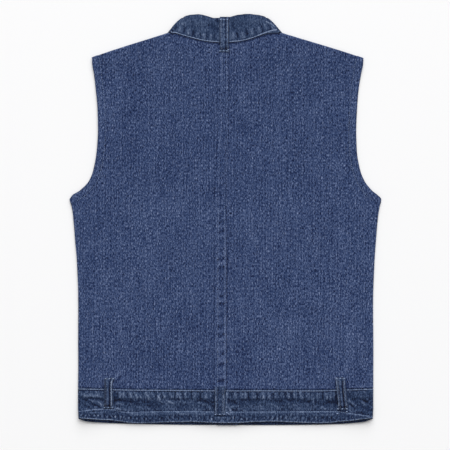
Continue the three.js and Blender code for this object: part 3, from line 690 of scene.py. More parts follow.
def back(side):
    s = SIGN[side]
    inner = lap_over if side == "left" else lap_under
    last = len(BACK_ROWS["edge"]) + 1
    tip_x = TIP[side][0]
    top_cx = float(inner(320.0))
    top_cy = float(back_top(side, top_cx))
    tip_y = float(shoulder_y(side, tip_x))
    edge_x0 = float(outline[side](-298.0))
    levels = {"k": np.arange(last + 1, dtype=float),
              "edge": np.concatenate([[float(band_seam(edge_x0)) + GAP], BACK_ROWS["edge"], [tip_y]]),
              "centre": np.concatenate([[float(band_seam(float(inner(-300.0)))) + GAP], BACK_ROWS["centre"], [top_cy]])}
    armpit = float(np.argmax(BACK_ROWS["edge"] == ARMPIT_Y + ARMPIT_DIP) + 1)
    # rows: evenly spaced between the levels, closer near the waist, the armpit and the neck
    t = [0.0]
    for k in range(last):
        gap = max(abs(levels["edge"][k + 1] - levels["edge"][k]), abs(levels["centre"][k + 1] - levels["centre"][k]))
        step = 1.5 if k < 2 else (1.9 if k in (12, 13, 14) or k >= last - 2 else 2.3)
        m = max(1, int(math.ceil(gap / step)))
        t += [k + (i + 1) / m for i in range(m)]
    t = np.array(t)
    ey = through(levels, "k", "edge")(t)
    cy = through(levels, "k", "centre")(t)
    cx = inner(cy)
    cx = np.where(t > last - 1, mix(cx, top_cx, t - (last - 1)), cx)
    at_side = t <= armpit + 1e-9
    ex = np.where(at_side, fold_centre(side, np.minimum(ey, ARMPIT_Y)), armhole[side](ey))
    ex = np.where(t > last - 1, mix(ex, tip_x, smooth(t - (last - 1))), ex)
    width = np.abs(ex - cx)
    share_neck = (neck_end_x(side) - top_cx) / (tip_x - top_cx)
    # columns, as shares of the width
    if side == "left":
        lap = lap_over(cy) - lap_under(cy)
        knots = [(lap / width, 13), ((lap + LAP_RAMP) / width, 6)]
    else:
        knots = [(14.0 / width, 7), (22.0 / width, 6)]
    knots += [(np.full_like(width, share_neck), 34), (1 - 17.0 / width, 54), (np.ones_like(width), 12)]
    share = [np.zeros_like(width)]
    neck_col = 0
    for i, (to, m) in enumerate(knots):
        start = share[-1]
        for j in range(m):
            share.append(mix(start, to, (j + 1) / m))
        if i == len(knots) - 3:
            neck_col = len(share) - 1
    u = np.stack(share, 1)
    X = mix(cx[:, None], ex[:, None], u)
    top_x = mix(top_cx, tip_x, u)
    pull = smooth((cy[:, None] - 150) / 160)
    Y = mix(cy[:, None], ey[:, None], u)
    Y = Y + pull * (back_top(side, top_x) - mix(top_cy, tip_y, u))
    first = mix(levels["centre"][0], levels["edge"][0], u)
    Y = Y + np.clip(1 - t, 0, 1)[:, None] * (band_seam(X) + GAP - first)
    Z = back_z(X, Y)

    # distance to the armhole's edge, and how far along it
    edge_pts = np.stack([np.interp(np.linspace(armpit, last, 700), t, ex), np.interp(np.linspace(armpit, last, 700), t, ey)], 1)
    run = np.concatenate([[0], np.cumsum(np.hypot(*np.diff(edge_pts, axis=0).T))])
    near = (1 - u) * width[:, None] < 60
    d_arm = np.full(X.shape, 99.0)
    a_arm = np.zeros(X.shape)
    pts = np.stack([X[near], Y[near]], 1)
    best = np.full(len(pts), 1e9)
    which = np.zeros(len(pts), int)
    for i in range(0, 700, 50):
        block = edge_pts[i:i + 50]
        dist = np.hypot(pts[:, None, 0] - block[None, :, 0], pts[:, None, 1] - block[None, :, 1])
        j = dist.argmin(1)
        dmin = dist[np.arange(len(pts)), j]
        better = dmin < best
        best = np.where(better, dmin, best)
        which = np.where(better, j + i, which)
    d_arm[near] = best
    a_arm[near] = run[which]
    thick = np.full(X.shape, CLOTH)
    h, w = strokes(X, Y, BODY_CREASES_AND_SHADE)
    h = h + waves(X, Y, BODY_WAVES) * smooth((Y + 300) / 60) * smooth((back_top(side, top_x) - Y) / 50)
    w = w - 0.045 * smooth((Y - 40) / 90)
    # armhole: a turned hem, stitched down, a little paler; the groove at the stitching and the very edge are painted
    # darker, as shade
    hem = smooth((12.4 - d_arm) / 1.6)
    thick = thick + 0.75 * hem
    h = h + 0.30 * hem - 0.24 * bell((d_arm - 12.9) / 1.2)
    pucker = 0.10 * np.sin(2 * math.pi * (a_arm + 5 * edge_noise(a_arm / 23 + 40 * (s > 0))) / 8.4 + 0.25 * d_arm)
    h = h + pucker * between(d_arm, 3, 12, 2.5)
    w = w - 0.30 * bell((d_arm - 12.9) / 1.1) + 0.10 * between(d_arm, 2, 10, 2.0)
    w = w - 0.25 * bell(d_arm / 1.2)
    # waist: the cloth is drawn up a little by the band's stitching, paler on the ridges; a line just above the seam is
    # painted darker, as the shade at the band's edge
    b = Y - band_seam(X)
    gather = rope_noise(X / 5.6) * 0.16 + 0.10 * np.sin(2 * math.pi * (X + 3 * seam_noise(X / 31)) / 9.2)
    h = h + gather * bell(b / 11)
    w = w + (0.9 * gather + 0.05 * wear_and_shade_noise(X / 3.1)) * bell((b - 4) / 10)
    w = w - (0.55 + 0.40 * wear_and_shade_noise(X / 17 + 5)) * bell((b - 1.0) / 1.3)
    # neck: in the shade of the collar's lower edge
    n = back_top(side, X) - Y
    ring = np.abs(X - NECK_X) < NECK_END
    w = w - 1.0 * bell((n - 0.9) / 1.5) * ring
    h = h + 0.10 * rope_noise(X / 4.1 + 300) * bell((n - 4) / 6) * ring
    # centre back: the left half laps over the right one and is stitched twice. The lap's folded edge is made paler, as
    # wear and as a painted highlight; grooves beside the lap are painted darker as shade, and so is the right half
    # along the edge, as the shadow of the step.
    over, under_x = lap_over(Y), lap_under(Y)
    low = smooth((60 - Y) / 120)
    shown = 1 - 0.80 * between(Y, 30, 212, 40)
    if side == "left":
        Z = Z + lap_step(X, Y)
        a = X - under_x
        lapw = over - under_x
        h = h + (0.26 * bell((a - 0.6) / 1.2) + 0.22 * bell((a - lapw + 1.0) / 1.2)) * (0.5 + 0.5 * shown)
        h = h - 0.24 * bell((a - 3.4) / 1.1) - 0.26 * bell((a - lapw + 3.6) / 1.1)
        phase = (Y + 5 * rope_noise(Y / 37)) / mix(13.0, 16.6, low) - a / 70.0
        rope = np.sin(2 * math.pi * phase + 0.5 * np.sin(2 * math.pi * phase)) * between(a, 3.4, lapw - 3.8, 2.0)
        uneven = np.clip(0.75 + 0.55 * seam_noise(Y / 19 + 9), 0.25, 1.3)
        h = h + rope * mix(0.08, 0.24, low) * uneven
        w = w + np.where(rope < 0, 1.40, 0.50) * rope * mix(0.10, 0.56, low) * uneven
        w = w + bell((a - 0.4) / 1.2) * (mix(0.30, 0.14, low) + 0.22 * wear_and_shade_noise(Y / 6.5)) * (0.35 + 0.65 * shown)
        w = w + bell((a - lapw + 0.8) / 0.75) * (mix(0.35, 1.30, low) + 0.25 * wear_and_shade_noise(Y / 7.5 + 70)) * shown
        w = w - 0.25 * bell((a + 1.9) / 1.3) - 0.22 * bell((a - lapw + 3.4) / 1.2)
    else:
        a = X - over
        w = w - bell((a - 0.5) / 1.05) * mix(0.35, 1.30, low)
    Z = Z + h
    # the hem and the folds keep their height
    sheet = Sheet()
    ids = sheet.add(X, Y, Z, X, Y, thick, w)
    sheet.net(ids)

    # side fold, up to the armpit
    rows = np.where(at_side)[0]
    e = ids[rows, -1]
    x, y, z = X[rows, -1], Y[rows, -1], Z[rows, -1]
    tt = thick[rows, -1]
    ww = w[rows, -1]
    radius = (z - FRONT_Z) / 2
    dip = -ARMPIT_DIP * np.clip((y - 13) / 27, 0, 1)
    tail = 2.0 * np.clip((y - 13) / 27, 0, 1)
    cols = [e] + wrap(sheet, x, y, z, x, y, s * radius, dip, FRONT_Z, 10, (s, 0), tt, ww)
    half = math.pi * radius
    for q in (0.33, 0.67, 1.0):
        cols.append(sheet.add(x - s * TURN * q, y + tail * q, FRONT_Z + 0 * x, x + s * (half + TURN * q), y, tt, 0.0))
    sheet.net(np.stack(cols, 1))

    # shoulder fold, from the neck to the tip
    sh = SHOULDER[side]
    e = ids[-1, neck_col:]
    x, y, z = X[-1, neck_col:], Y[-1, neck_col:], Z[-1, neck_col:]
    tt, ww = thick[-1, neck_col:], w[-1, neck_col:]
    radius = (z - FRONT_Z) / 2
    slant = SEAM_SLANT * np.clip(1 - np.abs(x - x[0]) / 28, 0, 1)
    end_x, end_y = x + sh["along"][0] * slant, y + sh["along"][1] * slant
    rows2 = [e] + wrap(sheet, x, y, z, end_x, end_y, sh["out"][0] * radius, sh["out"][1] * radius, FRONT_Z, 10,
                       sh["out"], tt, ww)
    half = math.pi * radius
    for q in (0.33, 0.67, 1.0):
        rows2.append(sheet.add(end_x - sh["out"][0] * TURN * q, end_y - sh["out"][1] * TURN * q, FRONT_Z + 0 * x,
                               x + sh["out"][0] * (half + TURN * q), y + sh["out"][1] * (half + TURN * q), tt, 0.0))
    sheet.net(np.stack(rows2, 0))
    return sheet.wall(flip=side == "left")


# ---------------------------------------------------------------- collar
def front_neck(side, s, inward=0.0):
    sh = SHOULDER[side]
    y0 = shoulder_y(side, neck_end_x(side)) + sh["along"][1] * SEAM_SLANT
    a, b = np.maximum(0, s - 0.01), np.minimum(1, s + 0.01)
    dx, dy = front_neck_x(b) - front_neck_x(a), front_neck_y(b) - front_neck_y(a)
    length = np.hypot(dx, dy)
    return (NECK_X + SIGN[side] * (front_neck_x(s) + inward * dy / length),
            y0 + front_neck_y(s) - inward * dx / length)


def collar_fold(side, h):
    sx, sy = fold_at[side](h), fold_y(h)
    lx, ly = front_neck(side, 0.0, FOLD_GAP)
    s = smooth(h * 1.2)
    return (sx, sy), (mix(lx, sx, s), mix(ly, sy, s)), (SIGN[side] * fold_out(h), fold_up(h))


def collar_front(side, h, q):
    """Points of the collar's front half: h up the band (rows), q from the fold to centre front (columns)."""
    h, q = h[:, None], q[None, :]
    (_, _), (fx, fy), _ = collar_fold(side, h)
    lx, ly = front_neck(side, 0.0, FOLD_GAP)
    _, (hx, hy), _ = collar_fold(side, np.array(1.0))
    gap = mix(FOLD_GAP, SEAM_GAP, smooth(q / 0.12))
    nx, ny = front_neck(side, q, gap)
    lean = mix(math.atan2(hy - ly, abs(hx - lx)), math.pi / 2, q ** 0.8)
    width = mix(math.hypot(hx - lx, hy - ly), COLLAR_H, smooth(q * 3)) * h
    x = nx - SIGN[side] * np.cos(lean) * width
    x = mix(x, NECK_X + SIGN[side] * COLLAR_END, smooth((q - 0.94) / 0.06))
    y = ny + np.sin(lean) * width
    blend = smooth(q / 0.16)
    return mix(fx + 0 * x, x, blend), mix(fy + 0 * y, y, blend)


# ridges and troughs of the collar, with shade; columns as strokes() takes them. The troughs are painted darker as
# shade.
COLLAR_CREASES_AND_SHADE = [
    # hollows between the puckers above the neck seam, left of the loop, painted dark as shade
    (176.5, 24.7, 175.0, 29.3, 2.1, -0.25, -0.28), (184.6, 27.2, 184.0, 32.8, 2.2, -0.35, -0.37),
    (193.6, 30.7, 193.0, 35.8, 2.4, -0.35, -0.46), (200.6, 32.7, 200.4, 37.6, 2.0, -0.25, -0.28),
    (207.6, 31.7, 207.2, 38.3, 2.1, -0.30, -0.34), (214.6, 33.2, 214.2, 39.3, 1.8, -0.22, -0.25),
    # and the pale puckers themselves
    (180.4, 26.8, 179.4, 31.6, 2.1, 0.30, 0.25), (188.9, 29.6, 188.4, 34.6, 2.1, 0.35, 0.28),
    (197.2, 32.4, 196.8, 37.2, 2.0, 0.28, 0.22), (204.0, 33.8, 203.8, 38.8, 2.0, 0.30, 0.24),
    (211.0, 33.7, 210.8, 39.8, 2.0, 0.32, 0.25), (217.6, 33.7, 217.6, 39.8, 1.7, 0.25, 0.22),
    # right of the loop: puckers, and hollows painted dark as shade
    (233.4, 32.2, 232.8, 38.3, 2.0, 0.30, 0.28), (236.8, 32.6, 238.2, 38.4, 2.2, -0.40, -0.53),
    (242.2, 32.2, 242.8, 38.0, 2.1, 0.34, 0.30), (246.0, 30.2, 247.6, 36.0, 2.1, -0.34, -0.43),
    (251.0, 29.2, 252.2, 35.2, 2.2, 0.34, 0.29), (254.2, 28.2, 256.2, 33.4, 2.0, -0.30, -0.34),
    (258.4, 27.2, 260.0, 32.4, 2.1, 0.32, 0.26), (260.6, 25.2, 262.4, 30.8, 1.8, -0.25, -0.31),
    (264.6, 24.2, 266.6, 29.8, 2.1, 0.28, 0.24), (268.8, 25.2, 270.2, 29.4, 1.7, -0.20, -0.25),
    # pale line at the right end, a painted highlight, and the turned corner at the left end, pale along its edge with
    # painted shade beside it
    (266.0, 21.6, 271.6, 24.0, 1.0, 0.22, 0.60), (271.6, 24.0, 275.2, 27.2, 1.0, 0.22, 0.60),
    (174.2, 25.2, 170.8, 30.6, 0.9, 0.22, 0.60), (176.4, 26.8, 173.0, 31.0, 0.9, -0.15, -0.35),
    (271.0, 26.4, 274.2, 29.4, 0.9, 0.18, 0.45),
    # soft hollows and rises in the band; the hollows are painted darker as shade, also beside the loop's top
    (190.0, 21.0, 206.0, 23.5, 5.0, 0.35, 0.06), (208.0, 24.0, 216.5, 29.0, 4.0, -0.35, -0.25),
    (232.0, 22.0, 234.5, 30.0, 3.0, -0.30, -0.30), (240.0, 20.0, 258.0, 20.5, 5.0, 0.35, 0.05),
    (182.0, 22.0, 186.0, 26.0, 4.0, 0.20, 0.10), (216.0, 19.5, 218.6, 22.5, 2.0, -0.3, -0.45),
]
COLLAR_WAVES = [(74, 8, 0.3, 0.14), (46, 96, 1.2, 0.10), (31, 40, 2.2, 0.05)]


def collar():
    sheet = Sheet()
    h = np.linspace(0, 1, 36)
    q = np.linspace(0, 1, 66)
    parts = []

    def front(side):
        x, y = collar_front(side, h, q)
        run = front_neck_run(q)[None, :] * 0 + q[None, :] * 165.0
        cx = SIGN[side] * (100.0 + run) + 0 * x
        cy = 330.0 + h[:, None] * COLLAR_H + 0 * x
        z = np.full_like(x, BAND_FRONT_Z)
        # the ends of the band and the edge stitching: paler edges, and a groove beside the stitching painted darker as
        # shade
        b = h[:, None] * COLLAR_H
        w = 0.35 * bell(b / 1.4) + 0.3 * bell((COLLAR_H - b) / 1.4) - 0.2 * bell((b - 3.2) / 1.2) + 0 * x
        w = w + 0.35 * rope_noise(cx / 4.4) * between(b, 3, 12, 3)
        dz = 0.22 * rope_noise(cx / 4.4) * between(b, 3, 12, 3)
        return x, y, z + np.maximum(dz, -0.2), cx, cy, w

    def fold(side, steps=12):
        (sx, sy), (ex, ey), (bx, by) = collar_fold(side, h)
        z = collar_z(sx)
        r = (z - BAND_FRONT_Z) / 2
        rows = []
        # the turn of each fold is painted darker, as shade
        for k in range(1, steps):
            a = math.pi * k / steps
            across = (1 - math.cos(a)) / 2
            rows.append((mix(sx, ex, across) + bx * r * math.sin(a), mix(sy, ey, across) + by * r * math.sin(a),
                         mix(z, BAND_FRONT_Z, across), SIGN[side] * (93.0 + 0.6 * k) + 0 * sx, 330.0 + h * COLLAR_H,
                         -0.25 * np.sin(a) + 0 * sx))
        return [np.stack([row[i] for row in rows], 1) for i in range(6)]

    def ordered(values, backwards):
        return [v[:, ::-1] for v in values] if backwards else list(values)

    m = np.linspace(0, 1, 164)
    lsx, lsy = collar_fold("left", h)[0]
    rsx, rsy = collar_fold("right", h)[0]
    X = mix(lsx[:, None], rsx[:, None], m[None, :])
    side_top = np.where(X < NECK_X, back_top("left", X), back_top("right", X))
    seam = side_top + SEAM_GAP
    Y = mix(seam, collar_top(X), h[:, None])
    ends = mix(lsy[:, None], rsy[:, None], np.round(m)[None, :]) + 0 * X
    near_end = smooth(1 - np.minimum(m, 1 - m)[None, :] * 180 / 2.2)
    Y = mix(Y, ends, near_end)
    b = h[:, None] * (collar_top(X) - seam)
    c = (1 - h[:, None]) * (collar_top(X) - seam)
    dz, w = strokes(X, Y, COLLAR_CREASES_AND_SHADE)
    dz, w = 1.3 * dz, np.where(w < 0, 1.85, 2.7) * w - 0.06 * smooth((X - 5) / 30)
    dz = dz + waves(X, Y, COLLAR_WAVES) * between(b, 8, 36, 8)
    off_loop = smooth((np.abs(X + 2.0) - 7.5) / 4)
    dz = dz * (0.25 + 0.75 * off_loop)
    # lower edge with its stitching, and the turned top edge: the groove above the stitched edge and the top edge are
    # painted darker as shade; towards the right end the band under the climbing line is painted paler, against the
    # shade there, with a darker line just under it
    e = b - line_climb(X)
    dz = dz + 0.22 * bell((e - 0.7) / 1.1) - 0.26 * bell((e - 3.0) / 1.0) - 0.9 * smooth((2.2 - c) / 2.4) ** 2
    w = w + (2.05 + 0.35 * wear_and_shade_noise(X / 4.6)) * bell((e - 1.05) / 0.78) * off_loop - 0.45 * bell((e - 3.1) / 1.0)
    w = w + (0.34 * smooth(0.5 - e / 1.2) - 0.30 * bell((e + 1.0) / 1.0)) * smooth((X - 54) / 14)
    w = w - 0.50 * bell(c / 1.8) + 0.02 * between(b, 4, 44, 4)
    w = w + 0.10 * rope_noise(X / 2.6 + 80) * between(b, 4, 34, 4)
    Z = collar_z(X) + dz * smooth(np.minimum(m, 1 - m)[None, :] * 190 / 4.0 + 0.15)
    back_part = [X, Y, Z, X, 330.0 + b, w]
    for values in (ordered(front("left"), True), ordered(fold("left"), True), back_part,
                   ordered(fold("right"), False), ordered(front("right"), False)):
        parts.append(values)
    full = [np.concatenate([p[i] for p in parts], 1) for i in range(6)]
    ids = sheet.add(full[0], full[1], full[2], full[3], full[4], BAND, full[5])
    sheet.net(ids)
    return sheet.wall(flip=False, reverse=0.0)


def front_neck_run(q):
    return q


# ---------------------------------------------------------------- fronts
FRONT_ROWS = table("edge centre",
                   (-205, -205), (-165, -165), (-122, -120), (-80, -72), (-46, -33), (-14, 5), (13, 38), (42, 76),
                   (45, 100), (52, 120), (67, 145), (88, 175), (120, 215))
NECK_ROWS = table("edge s",
                  (150, 1.2), (164, 1), (178, 0.9), (190, 0.8), (203, 0.7), (216, 0.6), (228, 0.5), (240, 0.4),
                  (250, 0.3), (260, 0.2), (268, 0.1))
FRONT_WAVES = [(240, 80, 1.2, 0.10), (150, 15, 0.4, 0.08)]
FRONT_CREASES = [
    (120, 250, 132, 330, 9, 0.30, 0.04), (320, 236, 312, 318, 10, 0.28, 0.04), (160, 150, 150, 210, 8, 0.25, 0.03),
    (288, 150, 300, 214, 8, 0.25, 0.03), (190, 300, 184, 372, 7, 0.22, 0.03), (262, 296, 268, 366, 7, 0.22, 0.03),
]


def front(side):
    s = SIGN[side]
    other = "left" if side == "right" else "right"
    sh = SHOULDER[side]
    inner = -s * FRONT_LAP

    def side_x(y):
        return fold_centre(side, y) - s * (TURN + GAP)

    def arm_x(y):
        return armhole[side](y) - s * (ARM_INSET + ARM_SCOOP * np.sin(math.pi * np.clip((y - 44) / 230, 0, 1)))

    ex, ey, cx, cy = [float(side_x(-297.0))], [0.0], [inner], [0.0]
    ey[0] = float(band_seam(ex[0])) + GAP
    cy[0] = float(band_seam(inner)) + GAP
    for y, c in zip(FRONT_ROWS["edge"], FRONT_ROWS["centre"]):
        ex.append(float(side_x(min(y, ARMPIT_Y)) if y <= 42 else arm_x(y)))
        ey.append(y)
        cx.append(inner)
        cy.append(c)
    for y, q in zip(NECK_ROWS["edge"], NECK_ROWS["s"]):
        ex.append(float(arm_x(y)))
        ey.append(y)
        if q > 1:
            nx = inner
            ny = float(front_neck(other, np.array(1 - abs(inner - NECK_X) / 34 * 0.24))[1])
        else:
            nx, ny = (float(v) for v in front_neck(side, np.array(q)))
        cx.append(nx)
        cy.append(ny)
    tip_x, tip_y = TIP[side][0], float(shoulder_y(side, TIP[side][0]))
    inset = TURN + GAP
    ex.append(tip_x - sh["out"][0] * inset - sh["along"][0] * 2.5)
    ey.append(tip_y - sh["out"][1] * inset - sh["along"][1] * 2.5)
    nx, ny = (float(v) for v in front_neck(side, np.array(0.0)))
    cx.append(nx - sh["out"][0] * inset)
    cy.append(ny - sh["out"][1] * inset)
    ex, ey, cx, cy = map(np.array, (ex, ey, cx, cy))
    k = np.arange(len(ex), dtype=float)
    t = [0.0]
    for i in range(len(ex) - 1):
        gap = max(math.hypot(ex[i + 1] - ex[i], ey[i + 1] - ey[i]), math.hypot(cx[i + 1] - cx[i], cy[i + 1] - cy[i]))
        m = max(1, int(math.ceil(gap / 3.2)))
        t += [i + (j + 1) / m for j in range(m)]
    t = np.array(t)
    EX, EY, CX, CY = (np.interp(t, k, v) for v in (ex, ey, cx, cy))
    width = np.abs(EX - CX)
    start = s * CX
    foot = FRONT_LAP + 2
    first = np.maximum(start + 3, foot)
    second = np.maximum(first + 3, foot + LAP_RAMP)
    share = [np.zeros_like(width)]
    for to, m in (((first - start) / width, 14), ((second - start) / width, 6), (1 - 14.0 / width, 66), (np.ones_like(width), 8)):
        a = share[-1]
        to = np.maximum(to, a + 1e-4)
        for j in range(m):
            share.append(mix(a, to, (j + 1) / m))
    u = np.stack(share, 1)
    X = mix(CX[:, None], EX[:, None], u)
    Y = mix(CY[:, None], EY[:, None], u)
    Y = Y + np.clip(1 - t, 0, 1)[:, None] * (band_seam(X) + GAP - mix(cy[0], ey[0], u))
    lift = front_step(X, CLOTH + GAP) if side == "right" else 0.0
    d_edge = (1 - u) * width[:, None]
    h, w = strokes(X, Y, FRONT_CREASES)
    # the panel lies on the surface, so its creases only rise, and only where nothing presses on it
    free = smooth(d_edge / 30) * smooth(u * width[:, None] / 40) * smooth((Y + 300) / 50)
    h = np.maximum(0, h + waves(X, Y, FRONT_WAVES)) * free * 0.8
    # paler edges at the armhole and at centre front, and grooves beside their stitching painted darker as shade
    arm = (EY > 42)[:, None]
    w = w + arm * (-0.3 * bell((d_edge - 12.5) / 1.2) + 0.2 * bell(d_edge / 1.5))
    d_centre = u * width[:, None]
    w = w + 0.3 * bell(d_centre / 1.5) - 0.25 * bell((d_centre - 6.0) / 1.3)
    sheet = Sheet()
    ids = sheet.add(X, Y, FRONT_Z + lift + h, X, Y, CLOTH, w)
    sheet.net(ids)
    V, Q, C, wear_and_painted_shading, under = sheet.wall(flip=side == "left")
    # these panels lie face down: the wall's lower side is the cloth's face
    n = sheet.n
    under[:n], under[n:2 * n] = 1.0, 0.0
    return V, Q, C, wear_and_painted_shading, under


# ---------------------------------------------------------------- waistband
HEM_LINE = table("x y",
                 (78, 411.4), (86, 410.4), (97, 409.4), (105, 409.2), (112, 409.6), (120, 411.6), (130, 412.6),
                 (145, 412.0), (180, 411.6), (215, 411.8), (240, 412.0), (300, 411.8), (335, 411.6), (350, 413.4),
                 (360, 414.8), (369, 415.8), (374, 415.9))
